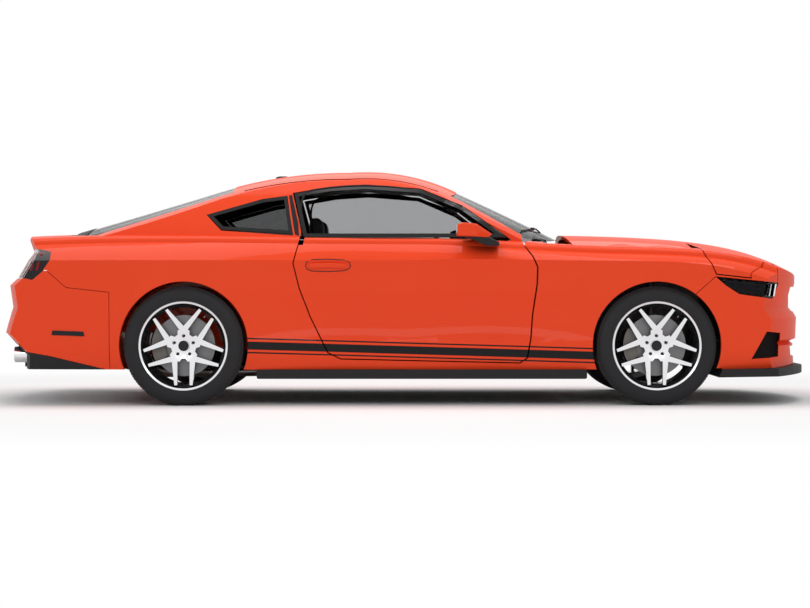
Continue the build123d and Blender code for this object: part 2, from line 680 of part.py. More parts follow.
def door_hinge_brackets():
    """The left door's body brackets: two ears, a pin and a foot on the pillar."""
    brackets = Part()
    ear = DOOR_EYE_HEIGHT / 2
    foot_x = DOOR_HINGE_X + DOOR_HINGE_CLEAR + SHEET
    foot_y = DOOR_HINGE_Y - DOOR_POCKET_RADIUS - DOOR_EYE_RADIUS
    for height in DOOR_HINGE_HEIGHTS:
        pin = z_rod(DOOR_HINGE_X, DOOR_HINGE_Y, DOOR_PIN_RADIUS, height - 2 * ear, height + 2 * ear)
        for low, high in ((-2 * ear, -ear - SEAT), (ear + SEAT, 2 * ear)):
            plan = [(DOOR_HINGE_X - DOOR_EYE_RADIUS, DOOR_HINGE_Y),
                    (DOOR_HINGE_X + DOOR_EYE_RADIUS, DOOR_HINGE_Y),
                    (DOOR_HINGE_X + 2 * DOOR_EYE_RADIUS, foot_y), (foot_x, foot_y),
                    (foot_x, foot_y - 2 * DOOR_EYE_RADIUS),
                    (DOOR_HINGE_X - DOOR_EYE_RADIUS, foot_y - 2 * DOOR_EYE_RADIUS)]
            brackets += top_solid(plan, height + low, height + high)
            brackets += z_rod(DOOR_HINGE_X, DOOR_HINGE_Y, DOOR_EYE_RADIUS, height + low, height + high)
        brackets += pin
    return brackets


def door_shell(forms):
    """The left door: skin and inner box in one, with its hinge eyes."""
    door = (forms.lower - forms.room) & door_region(-SHUT_GAP / 2)
    door -= block(-LENGTH, LENGTH, 0, WIDTH, DOOR_TOP_Z, HEIGHT)
    front_x = DOOR_HINGE_X + DOOR_FRONT_BOX
    inside = forms.inner & block(front_x, LENGTH, 0, WIDTH, 0, HEIGHT)
    door -= inside
    door &= Pos(-DOOR_FRONT_RELIEF, 0, 0) * door_region(-SHUT_GAP / 2)
    door -= block(-LENGTH, 0, 0, DOOR_STEP_Y, 0, HEIGHT) - side_region(DOOR_SHARES, -DOOR_STEP, 0, DOOR_STEP_Y)
    for height in DOOR_HINGE_HEIGHTS:
        low = height - DOOR_EYE_HEIGHT - WINDOW_GAP
        high = height + DOOR_EYE_HEIGHT + WINDOW_GAP
        pocket = z_rod(DOOR_HINGE_X, DOOR_HINGE_Y, DOOR_POCKET_RADIUS, low, high)
        pocket += block(DOOR_HINGE_X - DOOR_EYE_RADIUS - WINDOW_GAP, LENGTH / 2, 0, DOOR_HINGE_Y, low, high)
        door -= pocket & block(0, LENGTH, 0, DOOR_HINGE_Y + DOOR_EYE_RADIUS + DOOR_POCKET_GAP, low, high)
        arm_half = DOOR_EYE_HEIGHT / 2
        door += block(DOOR_HINGE_X - DOOR_POCKET_RADIUS - SHEET, DOOR_HINGE_X,
                      DOOR_HINGE_Y - DOOR_EYE_RADIUS, DOOR_HINGE_Y, height - arm_half, height + arm_half)
    door += door_eyes(0, 0, 0)
    for height in DOOR_HINGE_HEIGHTS:
        door -= z_rod(DOOR_HINGE_X, DOOR_HINGE_Y, DOOR_PIN_RADIUS + SEAT,
                      height - DOOR_EYE_HEIGHT, height + DOOR_EYE_HEIGHT)
    return door


def door_glass(forms):
    """The left door's frameless glass, standing in the top of the door."""
    pane = forms.glass & side_region(DOOR_GLASS_SHARES, 0, 0, HALF_WIDTH)
    return pane - block(-LENGTH, LENGTH, 0, WIDTH, 0, DOOR_TOP_Z + SEAT)


def mirror_left(forms):
    """The left outside mirror: a pointed cap on a low arm from the door's corner."""
    cap = side_solid([(x, z) for x, z in MIRROR_SIDE], MIRROR_Y, MIRROR_Y + MIRROR_WIDTH)
    plan = [(MIRROR_SIDE[0][0] - OVERRUN, MIRROR_Y), (MIRROR_SIDE[4][0] + OVERRUN, MIRROR_Y),
            (MIRROR_SIDE[4][0] - MIRROR_SWEEP, MIRROR_Y + MIRROR_WIDTH), (MIRROR_SIDE[0][0] - OVERRUN, MIRROR_Y + MIRROR_WIDTH)]
    cap &= top_solid(plan, 0, HEIGHT)
    cap = fillet(cap.edges().filter_by(GeomType.LINE).group_by(Axis.Y)[-1], MIRROR_ROUND)
    foot = side_solid(MIRROR_ARM, MIRROR_FOOT_Y, MIRROR_Y + MIRROR_WIDTH / 3)
    return cap + max((foot - forms.lower).solids(), key=lambda solid: solid.center().Z)


def body_shell(forms):
    """Roof, pillars, quarter panels, sills, pillars' feet and inner fenders."""
    shell = (forms.lower + forms.cabin) & block(-LENGTH, BODY_FRONT_X, -WIDTH, WIDTH, 0, 2 * HEIGHT)
    shell -= forms.room
    shell -= trunk_hollow()
    shell -= block(CABIN_REAR_X - OVERRUN, CABIN_FRONT_X, -FLOOR_HALF_WIDTH, FLOOR_HALF_WIDTH, 0, FLOOR_TOP_Z + OVERRUN)
    shell -= block(CABIN_FRONT_X - OVERRUN, BODY_FRONT_X + OVERRUN, -TUNNEL_HALF_WIDTH, TUNNEL_HALF_WIDTH,
                   0, TUNNEL_TOP_Z)
    shell -= block(TRUNK_REAR_X, CABIN_REAR_X - SHEET, -REAR_WELL_INNER_Y, REAR_WELL_INNER_Y,
                   0, TRUNK_FLOOR_Z - FLOOR_SHEET)
    shell -= forms.wells
    shell -= both_sides(door_region(SHUT_GAP / 2))
    shell -= both_sides(door_hinge_sweep(DOOR_HINGE_CLEAR) & forms.behind_lip)
    fender_skin = block(place_x(FENDER_SHARES[0][0]), LENGTH, -WIDTH, WIDTH, 0, 2 * HEIGHT)
    shell -= fender_skin - forms.inner_loose
    shell -= hood_region(SHUT_GAP / 2)
    shell -= (forms.wall & lid_region(SHUT_GAP / 2))
    shell -= lid_region(SHUT_GAP / 2)
    shell -= side_region(REAR_BUMPER_SHARES, SHUT_GAP / 2, -HALF_WIDTH, HALF_WIDTH)
    shell -= both_sides(side_region(TAIL_LAMP_SHARES, SEAT, LAMP_INNER_Y - SEAT, HALF_WIDTH + OVERRUN))
    shell -= both_sides(side_region(DOOR_GLASS_SHARES, WINDOW_GAP, DOOR_INNER_Y / 4, HALF_WIDTH))
    shell -= both_sides(side_region(QUARTER_GLASS_SHARES, 0, DOOR_INNER_Y / 4, HALF_WIDTH))
    shell -= front_region(WINDSHIELD_SHARES, 0, GLASS_FRONT_X, LENGTH / 4)
    shell -= top_region(REAR_WINDOW_SHARES, 0, BELT_Z, 2 * HEIGHT)
    shell -= cowl_room()
    shell -= block(-LENGTH, TRUNK_REAR_X, -LAMP_INNER_Y, LAMP_INNER_Y, 0, HEIGHT)
    return shell


def body_panels(forms):
    """The shell split along the roof's ditches: sides, roof, rear bulkhead and firewall."""
    shell = body_shell(forms)
    sides = shell & both_sides(block(-LENGTH, LENGTH, DITCH_Y, WIDTH, 0, 2 * HEIGHT))
    sides = Part() + [solid for solid in sides.solids() if solid.volume > SMALL_SOLID]
    sides += both_sides(door_hinge_brackets())
    lid_pin = y_rod(LID_HINGE_X, LID_HINGE_Z, LID_PIN_RADIUS, LID_ARM_Y - LID_ARM_WIDTH, TRUNK_HALF_WIDTH + PANEL)
    sides += both_sides(lid_pin)
    sides += both_sides(y_rod(HOOD_HINGE_X, HOOD_HINGE_Z, HOOD_PIN_RADIUS,
                              HOOD_ARM_Y - HOOD_ARM_WIDTH, HOOD_ARM_Y + HOOD_WELL_HALF_WIDTH + SHEET))
    middle = shell & block(-LENGTH, LENGTH, SEAT - DITCH_Y, DITCH_Y - SEAT, 0, 2 * HEIGHT)
    middle -= both_sides(y_rod(LID_HINGE_X, LID_HINGE_Z, LID_PIN_RADIUS + WINDOW_GAP,
                               LID_ARM_Y - LID_ARM_WIDTH, TRUNK_HALF_WIDTH))
    groups = {"roof_panel": [], "firewall": [], "rear_bulkhead": []}
    for solid in middle.solids():
        if solid.volume < SMALL_SOLID:
            continue
        box = solid.bounding_box()
        place = "roof_panel" if box.max.Z > ROOF_EDGE_Z else "firewall" if box.max.X > 0 else "rear_bulkhead"
        groups[place].append(solid)
    return {"body_shell": sides, **{name: Part() + solids for name, solids in groups.items()}}


def top_region(shares, grow, z_from, z_to):
    """A region seen from above, from a table of shares."""
    face = Plane.XY.offset(z_from) * grown(scaled(shares, LENGTH, HALF_WIDTH), grow)
    return extrude(face, amount=z_to - z_from)


def cowl_room():
    """The trough between hood and windshield, with a well for each hood hinge."""
    half = COWL_HALF_WIDTH
    trough = block(COWL_REAR_X, HOOD_REAR_X + OVERRUN, -half, half, COWL_TOP_Z - SHEET - SEAT, HEIGHT)
    wells = both_sides(block(HOOD_HINGE_X - HOOD_EYE_RADIUS - SHEET, HOOD_REAR_X + OVERRUN,
                             HOOD_ARM_Y - HOOD_WELL_HALF_WIDTH, HOOD_ARM_Y + HOOD_WELL_HALF_WIDTH,
                             HOOD_HINGE_Z - HOOD_EYE_RADIUS - SHEET, HEIGHT))
    return trough + wells


def bay_frame(forms):
    """Firewall, inner fenders with strut towers, and the radiator support."""
    frame = block(BODY_FRONT_X + SEAT, BAY_FRONT_X, BAY_HALF_WIDTH - SHEET, BAY_HALF_WIDTH, RAIL_Z, APRON_TOP_Z)
    frame -= y_rod(FRONT_AXLE_X, TYRE_RADIUS, FRONT_WELL_RADIUS, 0, WIDTH)
    rail = block(BODY_FRONT_X + SEAT, BAY_FRONT_X, RAIL_Y - RAIL_WIDTH, RAIL_Y, RAIL_Z, RAIL_Z + 2 * RAIL_WIDTH)
    tower = z_rod(FRONT_AXLE_X, STRUT_Y, TOWER_RADIUS, TOWER_BASE_Z, APRON_TOP_Z)
    tower -= z_rod(FRONT_AXLE_X, STRUT_Y, TOWER_RADIUS - SHEET, 0, HEIGHT)
    tower -= y_rod(FRONT_AXLE_X, TYRE_RADIUS, FRONT_WELL_RADIUS, 0, WIDTH)
    shelf = block(FRONT_AXLE_X - TOWER_RADIUS, FRONT_AXLE_X + TOWER_RADIUS, RAIL_Y - SHEET,
                  BAY_HALF_WIDTH, APRON_TOP_Z - SHEET, APRON_TOP_Z)
    shelf -= z_rod(FRONT_AXLE_X, STRUT_Y, TOWER_RADIUS - SHEET, 0, HEIGHT)
    panel = block(BAY_FRONT_X - SHEET, BAY_FRONT_X, RAIL_Y - SHEET, BAY_HALF_WIDTH, RAIL_Z, APRON_TOP_Z - PANEL * 6)
    sides = both_sides(frame + rail + tower + shelf + panel)
    top_bar = block(BAY_FRONT_X - 3 * SHEET, BAY_FRONT_X, -BAY_HALF_WIDTH, BAY_HALF_WIDTH,
                    SUPPORT_Z, SUPPORT_Z + 3 * SHEET)
    low_bar = block(BAY_FRONT_X - 3 * SHEET, BAY_FRONT_X, -BAY_HALF_WIDTH, BAY_HALF_WIDTH,
                    RAIL_Z, RAIL_Z + 3 * SHEET)
    frame = (sides + top_bar + low_bar) & forms.under_lids
    stay = block(BAY_FRONT_X - SHEET, LENGTH / 2, ENGINE_HALF_WIDTH - RAIL_WIDTH, ENGINE_HALF_WIDTH,
                 STAY_Z, STAY_Z + RAIL_WIDTH)
    stay += block(BAY_FRONT_X - SHEET, BAY_FRONT_X, ENGINE_HALF_WIDTH - RAIL_WIDTH, ENGINE_HALF_WIDTH,
                  RAIL_Z + SHEET, SUPPORT_Z)
    return frame + both_sides(stay & forms.inner_loose)


def hood(forms):
    """The hood with its two rear arms."""
    panel = forms.wall & hood_region(-SHUT_GAP / 2)
    arm_outline = [(HOOD_HINGE_X, HOOD_HINGE_Z - HOOD_EYE_RADIUS), (HOOD_HINGE_X, HOOD_HINGE_Z + HOOD_EYE_RADIUS),
                   (HOOD_REAR_X + HOOD_ARM_FOOT / 4, HOOD_HINGE_Z + 2 * HOOD_EYE_RADIUS + SHEET),
                   (HOOD_REAR_X + HOOD_ARM_FOOT, HOOD_HINGE_Z + 2 * HOOD_EYE_RADIUS + SHEET),
                   (HOOD_REAR_X + HOOD_ARM_FOOT / 2, HOOD_HINGE_Z - HOOD_EYE_RADIUS)]
    arm = side_solid(arm_outline, HOOD_ARM_Y - HOOD_ARM_WIDTH / 2, HOOD_ARM_Y + HOOD_ARM_WIDTH / 2)
    arm += y_rod(HOOD_HINGE_X, HOOD_HINGE_Z, HOOD_EYE_RADIUS,
                 HOOD_ARM_Y - HOOD_ARM_WIDTH / 2, HOOD_ARM_Y + HOOD_ARM_WIDTH / 2)
    arm &= forms.behind_skin
    arm -= y_rod(HOOD_HINGE_X, HOOD_HINGE_Z, HOOD_PIN_RADIUS + SEAT, 0, WIDTH)
    return panel + both_sides(arm)


def deck_lid(forms):
    """The deck lid with its lip and two goosenecks that curve about the hinge."""
    lid = forms.wall & lid_region(-SHUT_GAP / 2)
    neck = y_rod(LID_HINGE_X, LID_HINGE_Z, LID_NECK_RADIUS + LID_ARM_DEPTH / 2,
                 LID_ARM_Y - LID_ARM_WIDTH / 2, LID_ARM_Y + LID_ARM_WIDTH / 2)
    neck -= y_rod(LID_HINGE_X, LID_HINGE_Z, LID_NECK_RADIUS - LID_ARM_DEPTH / 2, 0, WIDTH)
    reach = 2 * LID_NECK_RADIUS
    angle = math.radians(LID_NECK_END_ANGLE)
    end = (LID_HINGE_X + reach * math.cos(angle), LID_HINGE_Z + reach * math.sin(angle))
    sector = side_solid([(LID_HINGE_X, LID_HINGE_Z), (LID_HINGE_X - reach, LID_HINGE_Z),
                         (LID_HINGE_X - reach, LID_HINGE_Z - reach), end], 0, WIDTH)
    neck &= sector
    spoke_end = (LID_HINGE_X + LID_NECK_RADIUS * math.cos(angle), LID_ARM_Y,
                 LID_HINGE_Z + LID_NECK_RADIUS * math.sin(angle))
    spoke = rod_between((LID_HINGE_X, LID_ARM_Y, LID_HINGE_Z), spoke_end, LID_ARM_WIDTH / 2)
    foot = block(LID_HINGE_X - LID_NECK_RADIUS - LID_ARM_DEPTH, LID_HINGE_X - LID_NECK_RADIUS + LID_ARM_DEPTH / 2,
                 LID_ARM_Y - LID_ARM_WIDTH / 2, LID_ARM_Y + LID_ARM_WIDTH / 2,
                 LID_HINGE_Z - LID_ARM_DEPTH, LID_HINGE_Z + SHEET) & forms.behind_skin
    eye = y_rod(LID_HINGE_X, LID_HINGE_Z, LID_EYE_RADIUS,
                LID_ARM_Y - LID_ARM_WIDTH / 2, LID_ARM_Y + LID_ARM_WIDTH / 2)
    arm = neck + spoke + foot + eye
    arm -= y_rod(LID_HINGE_X, LID_HINGE_Z, LID_PIN_RADIUS + SEAT, 0, WIDTH)
    return lid + both_sides(arm)


def front_fenders(forms):
    """Both front fenders, thin behind the arch where the door's edge turns in."""
    region = side_region(FENDER_SHARES, 0, 0, HALF_WIDTH + OVERRUN)
    fender = forms.wall & region
    fender -= block(-LENGTH, LENGTH, -WIDTH, FLOOR_HALF_WIDTH, 0, HEIGHT)
    fender -= door_region(SHUT_GAP / 2)
    fender -= door_hinge_sweep(DOOR_HINGE_CLEAR) & forms.behind_lip
    fender -= hood_region(SHUT_GAP / 2)
    fender -= forms.wells
    fender -= side_region(HEADLAMP_SHARES, SEAT, 0, HALF_WIDTH + OVERRUN)
    fender -= forms.cabin
    fender -= cowl_room()
    fender = max(fender.solids(), key=lambda solid: solid.volume)
    return both_sides(Part() + fender)


def front_bumper(forms):
    """The front bumper cover with its grille and fog lamp openings."""
    cover = forms.wall & block(place_x(FENDER_SHARES[2][0]) - OVERRUN, LENGTH, -WIDTH, WIDTH, 0, HEIGHT)
    cover -= both_sides(side_region(FENDER_SHARES, SHUT_GAP / 2, 0, HALF_WIDTH + OVERRUN))
    cover -= hood_region(SHUT_GAP / 2)
    cover -= forms.wells
    cover -= both_sides(side_region(HEADLAMP_SHARES, SEAT, LAMP_INNER_Y, HALF_WIDTH + OVERRUN))
    cover -= front_region(UPPER_GRILLE_SHARES, 0, BAY_FRONT_X - OVERRUN, LENGTH)
    cover -= front_region(LOWER_GRILLE_SHARES, 0, BAY_FRONT_X - OVERRUN, LENGTH)
    cover -= both_sides(side_region(FOG_SHARES, 0, FOG_INNER_Y, HALF_WIDTH + OVERRUN))
    cover -= block(0, BAY_FRONT_X - OVERRUN, -FLOOR_HALF_WIDTH, FLOOR_HALF_WIDTH, 0, FLOOR_Z + 2 * OVERRUN)
    return cover


def headlamps(forms):
    """Both headlamps, each a lens over a housing, in the corner of the nose."""
    shell = forms.lower - forms.lamp_back
    lamp = shell & side_region(HEADLAMP_SHARES, 0, LAMP_INNER_Y, HALF_WIDTH + OVERRUN)
    lamp -= forms.wells
    return both_sides(Part() + max(lamp.solids(), key=lambda solid: solid.volume))


def tail_lamps(forms):
    """Both tail lamps, each three upright bars across the rear corner."""
    shell = forms.wall
    lamp = shell & side_region(TAIL_LAMP_SHARES, 0, LAMP_INNER_Y, HALF_WIDTH + OVERRUN)
    return both_sides(Part() + lamp)


def rear_bumper(forms):
    """The rear bumper cover, from arch to arch."""
    cover = forms.wall & side_region(REAR_BUMPER_SHARES, 0, -HALF_WIDTH - OVERRUN, HALF_WIDTH + OVERRUN)
    cover -= forms.wells
    cover -= side_region(VALANCE_SHARES, SHUT_GAP / 4, -HALF_WIDTH - OVERRUN, HALF_WIDTH + OVERRUN)
    cover -= both_sides(side_region(TAIL_LAMP_SHARES, SEAT, LAMP_INNER_Y - SEAT, HALF_WIDTH + OVERRUN))
    cover -= block(TRUNK_REAR_X, LENGTH, -FLOOR_HALF_WIDTH, FLOOR_HALF_WIDTH, 0, TRUNK_FLOOR_Z - SHEET)
    return cover


def rear_valance(forms):
    """The dark lower valance, with a notch for each pair of exhaust tips."""
    piece = forms.wall & side_region(VALANCE_SHARES, 0, -HALF_WIDTH - OVERRUN, HALF_WIDTH + OVERRUN)
    piece -= forms.wells
    piece -= block(TRUNK_REAR_X, LENGTH, -FLOOR_HALF_WIDTH, FLOOR_HALF_WIDTH, 0, TRUNK_FLOOR_Z - SHEET)
    notch = block(-LENGTH, TRUNK_REAR_X + OVERRUN, TIP_Y - 2 * TIP_RADIUS - TIP_RADIUS, TIP_Y + 3 * TIP_RADIUS,
                  0, TIP_Z + TIP_RADIUS + SHEET)
    return piece - both_sides(notch)


def front_splitter(forms):
    """The thin dark blade under the nose."""
    centre = place_x(NOSE_SHARES[3][0]) - NOSE_PLAN_RADIUS
    side = [(SPLITTER_REAR_X, SPLITTER_BOTTOM_Z), (LENGTH / 2, SPLITTER_TIP_Z), (LENGTH / 2, SPLITTER_TIP_Z + SHEET),
            (place_x(NOSE_SHARES[7][0]), FLOOR_Z + SHEET), (SPLITTER_REAR_X, FLOOR_Z - SEAT)]
    blade = side_solid(side, -SPLITTER_HALF_WIDTH, SPLITTER_HALF_WIDTH)
    blade &= z_rod(centre, 0, LENGTH / 2 - centre, 0, HEIGHT)
    blade -= block(0, BAY_FRONT_X - 2 * OVERRUN, -RAIL_Y, RAIL_Y, 0, HEIGHT)
    front_room = y_rod(FRONT_AXLE_X, TYRE_RADIUS, FRONT_WELL_RADIUS, FRONT_WELL_INNER_Y, WIDTH)
    return blade - both_sides(front_room) - forms.lower


def side_skirts(forms):
    """The dark skirts under both sills."""
    outline = [(SKIRT_REAR_X, SKIRT_BOTTOM_Z), (SKIRT_FRONT_X, SKIRT_BOTTOM_Z),
               (SKIRT_FRONT_X, FLOOR_Z - SEAT), (SKIRT_REAR_X, FLOOR_Z - SEAT)]
    skirt = side_solid(outline, FLOOR_HALF_WIDTH + PANEL, SKIRT_HALF_WIDTH, SHEET)
    return both_sides(skirt) - forms.lower


def windshield(forms):
    """The windshield, in its opening."""
    region = front_region(WINDSHIELD_SHARES, -SEAT, GLASS_FRONT_X, LENGTH / 4)
    pane = forms.glass & region
    return pane - block(-LENGTH, LENGTH, -WIDTH, WIDTH, 0, COWL_GLASS_Z)


def rear_window(forms):
    """The rear window, in its opening."""
    return forms.glass & top_region(REAR_WINDOW_SHARES, -SEAT, BELT_Z, 2 * HEIGHT)


def quarter_glasses(forms):
    """Both small fixed windows behind the doors."""
    return both_sides(forms.glass & side_region(QUARTER_GLASS_SHARES, -SEAT, DOOR_INNER_Y / 4, HALF_WIDTH))


def cowl_panel():
    """The dark tray between hood and windshield, with an upstand under the glass."""
    half = COWL_HALF_WIDTH - SEAT
    tray = block(COWL_REAR_X + SEAT, BODY_FRONT_X - SEAT, -half, half, COWL_TOP_Z - SHEET, COWL_TOP_Z)
    upstand = block(COWL_REAR_X + SEAT, COWL_REAR_X + PANEL, -half, half, COWL_TOP_Z - SHEET, HEIGHT)
    upstand &= cabin_form(GLASS_INSET + GLASS + SEAT)
    wells = both_sides(block(0, LENGTH, HOOD_ARM_Y - HOOD_WELL_HALF_WIDTH,
                             HOOD_ARM_Y + HOOD_WELL_HALF_WIDTH, 0, 2 * HEIGHT))
    return tray + upstand - wells


def grilles(forms):
    """Slatted grilles set back in the upper and lower openings of the nose."""
    layer = nose_cutter(GRILLE_FRONT + GRILLE_BAR) - nose_cutter(GRILLE_FRONT)
    grille = Part()
    for shares in (UPPER_GRILLE_SHARES, LOWER_GRILLE_SHARES):
        corners = scaled(shares, HALF_WIDTH, HEIGHT)
        top = max(z for y, z in corners)
        bottom = min(z for y, z in corners)
        rows = max(2, round((top - bottom) / GRILLE_PITCH))
        pitch = (top - bottom) / rows
        window = grown(corners, -SEAT)
        bars = window - grown(corners, -SEAT - GRILLE_BAR)
        for number in range(1, rows):
            bars += Pos(0, bottom + number * pitch) * Rectangle(WIDTH, GRILLE_BAR) & window
        posts = int(max(y for y, z in corners) / GRILLE_POST_PITCH)
        for number in range(-posts, posts + 1):
            bars += Pos(number * GRILLE_POST_PITCH, 0) * Rectangle(GRILLE_BAR, 2 * HEIGHT) & window
        grille += layer & extrude(Plane.YZ.offset(BAY_FRONT_X - OVERRUN) * bars, amount=LENGTH / 2)
    return grille


def engine_block():
    """The engine as one plain mass between the rails."""
    return block(ENGINE_REAR_X, ENGINE_FRONT_X, -ENGINE_HALF_WIDTH, ENGINE_HALF_WIDTH, RAIL_Z, ENGINE_TOP_Z)


def floor_pan(forms):
    """The floor with its centre tunnel, closing the body from below."""
    half = FLOOR_HALF_WIDTH - SEAT
    profile = [(-half, FLOOR_Z), (-TUNNEL_HALF_WIDTH, FLOOR_Z),
               (-TUNNEL_HALF_WIDTH + SHEET, TUNNEL_TOP_Z - SHEET), (TUNNEL_HALF_WIDTH - SHEET, TUNNEL_TOP_Z - SHEET),
               (TUNNEL_HALF_WIDTH, FLOOR_Z), (half, FLOOR_Z), (half, FLOOR_Z + SHEET),
               (TUNNEL_HALF_WIDTH + SHEET, FLOOR_Z + SHEET), (TUNNEL_HALF_WIDTH, TUNNEL_TOP_Z),
               (-TUNNEL_HALF_WIDTH, TUNNEL_TOP_Z), (-TUNNEL_HALF_WIDTH - SHEET, FLOOR_Z + SHEET),
               (-half, FLOOR_Z + SHEET)]
    return front_solid(profile, CABIN_REAR_X + SEAT, CABIN_FRONT_X - SEAT) - forms.wells


def seat_outline(x, z, cushion, height, thick):
    """A seat from the side: cushion, leaning back and headrest in one line."""
    lean = height * SEAT_LEAN_SHARE
    return [(x, z), (x + cushion, z), (x + cushion + thick / 3, z + thick), (x + thick, z + thick * 3 / 4),
            (x - lean + thick, z + height), (x - lean, z + height), (x - thick / 2, z + thick)]


def front_seats():
    """Both front seats with their headrests."""
    seat = side_solid(seat_outline(SEAT_X, SEAT_Z, SEAT_CUSHION, SEAT_HEIGHT, SEAT_THICK),
                      SEAT_Y - SEAT_HALF_WIDTH, SEAT_Y + SEAT_HALF_WIDTH, SHEET * 2)
    lean = SEAT_HEIGHT * SEAT_LEAN_SHARE
    head = block(SEAT_X - lean - SHEET, SEAT_X - lean + SEAT_THICK * 2 / 3, SEAT_Y - SEAT_HALF_WIDTH / 2,
                 SEAT_Y + SEAT_HALF_WIDTH / 2, SEAT_Z + SEAT_HEIGHT - SHEET, SEAT_Z + SEAT_HEIGHT + HEADREST_HEIGHT)
    head = fillet(head.edges(), SHEET * 2)
    base = block(SEAT_X + SEAT_THICK, SEAT_X + SEAT_CUSHION - SHEET, SEAT_Y - SEAT_HALF_WIDTH * 2 / 3,
                 SEAT_Y + SEAT_HALF_WIDTH * 2 / 3, FLOOR_Z + SHEET + SEAT, SEAT_Z + SHEET)
    return both_sides(seat + head + base)


def rear_seat():
    """The rear bench with its back."""
    outline = seat_outline(REAR_SEAT_X, FLOOR_TOP_Z + PANEL, REAR_SEAT_CUSHION, REAR_SEAT_HEIGHT, SEAT_THICK)
    bench = side_solid(outline, -REAR_SEAT_HALF_WIDTH, REAR_SEAT_HALF_WIDTH, SHEET)
    foot = block(REAR_SEAT_X + SEAT_THICK, REAR_SEAT_X + REAR_SEAT_CUSHION - SHEET,
                 TUNNEL_HALF_WIDTH + 3 * SHEET, REAR_SEAT_HALF_WIDTH - SHEET, FLOOR_Z + SHEET + SEAT, FLOOR_TOP_Z + 2 * PANEL)
    bench += both_sides(foot)
    tunnel = block(-LENGTH, LENGTH, -TUNNEL_HALF_WIDTH - 2 * SHEET, TUNNEL_HALF_WIDTH + 2 * SHEET, 0, TUNNEL_TOP_Z + SEAT)
    return bench - tunnel


def dashboard(forms):
    """The instrument panel from pillar to pillar, with the centre console."""
    outline = [(CABIN_FRONT_X - SEAT, DASH_LOW_Z), (CABIN_FRONT_X - SEAT, DASH_TOP_Z),
               (DASH_REAR_X + 2 * SEAT_THICK, DASH_TOP_Z + SHEET), (DASH_REAR_X, DASH_TOP_Z - PANEL),
               (DASH_REAR_X + SHEET, DASH_LOW_Z + 4 * PANEL), (DASH_REAR_X + SEAT_THICK, DASH_LOW_Z)]
    panel = side_solid(outline, -DASH_HALF_WIDTH, DASH_HALF_WIDTH, SHEET)
    console = block(SEAT_X, DASH_REAR_X + SEAT_THICK, -TUNNEL_HALF_WIDTH, TUNNEL_HALF_WIDTH,
                    TUNNEL_TOP_Z + SEAT, TUNNEL_TOP_Z + CONSOLE_HEIGHT)
    bore = steering_plane() * Circle(COLUMN_RADIUS + SEAT)
    return panel + console - extrude(bore, amount=-COLUMN_LENGTH * 2)


def steering_plane():
    """The plane of the steering wheel's rim, facing the driver."""
    lean = math.radians(COLUMN_ANGLE)
    return Plane(origin=(STEER_X, SEAT_Y, STEER_Z), x_dir=(0, 1, 0), z_dir=(-math.cos(lean), 0, math.sin(lean)))


def steering_wheel():
    """Rim, three spokes, hub and column."""
    plane = steering_plane()
    rim = plane * Torus(STEER_RADIUS, STEER_GRIP)
    hub = extrude(plane.offset(-STEER_GRIP) * Circle(STEER_HUB_RADIUS), amount=2 * STEER_GRIP)
    spokes = Part()
    for angle in (0, 180, 270):
        bar = Rot(0, 0, angle) * Pos(STEER_RADIUS / 2, 0, 0) * Box(STEER_RADIUS, 2 * STEER_GRIP, STEER_GRIP)
        spokes += plane * bar
    column = extrude(plane * Circle(COLUMN_RADIUS), amount=-COLUMN_LENGTH)
    return rim + hub + spokes + column


def wheel_frame(x, track, side):
    """The wheel's own frame: its axle along Z, outwards from the car."""
    return Plane(origin=(x, side * track / 2, TYRE_RADIUS), x_dir=(side, 0, 0), z_dir=(0, side, 0))


def tyre():
    """A low tyre with a flat tread and rounded shoulders."""
    half = TYRE_WIDTH / 2
    bead = RIM_WIDTH / 2 - SHEET - SEAT
    shoulder = TYRE_RADIUS - TYRE_SHOULDER
    points = [(RIM_SEAT_RADIUS + SEAT, -bead), (RIM_RADIUS + SEAT, -bead), (RIM_RADIUS + SEAT, -RIM_WIDTH / 2),
              (RIM_RADIUS + SHEET, -half + SHEET / 3),
              (shoulder - TYRE_SHOULDER / 2, -half), (shoulder + TYRE_SHOULDER / 2, -half + SHEET / 2),
              (TYRE_RADIUS - SHEET / 3, -half + TYRE_SHOULDER), (TYRE_RADIUS, -half + 2 * TYRE_SHOULDER)]
    points += [(radius, -across) for radius, across in points[::-1]]
    return revolve(Plane.XZ * side_face(points), axis=Axis.Z)


def spoke_outline(angle):
    """One thin arm of a spoke pair, from the hub to the rim, in the wheel's plane."""
    split = math.radians(angle)
    root = (SPOKE_SPLIT_SHARE * RIM_RADIUS, 0)
    tip_radius = BARREL_RADIUS + BARREL_WALL
    tip = (tip_radius * math.cos(split), tip_radius * math.sin(split))
    run = math.hypot(tip[0] - root[0], tip[1] - root[1])
    across = (-(tip[1] - root[1]) / run, (tip[0] - root[0]) / run)
    root_half, tip_half = SPOKE_ROOT_WIDTH / 2, SPOKE_TIP_WIDTH / 2
    return [(root[0] + across[0] * root_half, root[1] + across[1] * root_half),
            (tip[0] + across[0] * tip_half, tip[1] + across[1] * tip_half),
            (tip[0] - across[0] * tip_half, tip[1] - across[1] * tip_half),
            (root[0] - across[0] * root_half, root[1] - across[1] * root_half)]


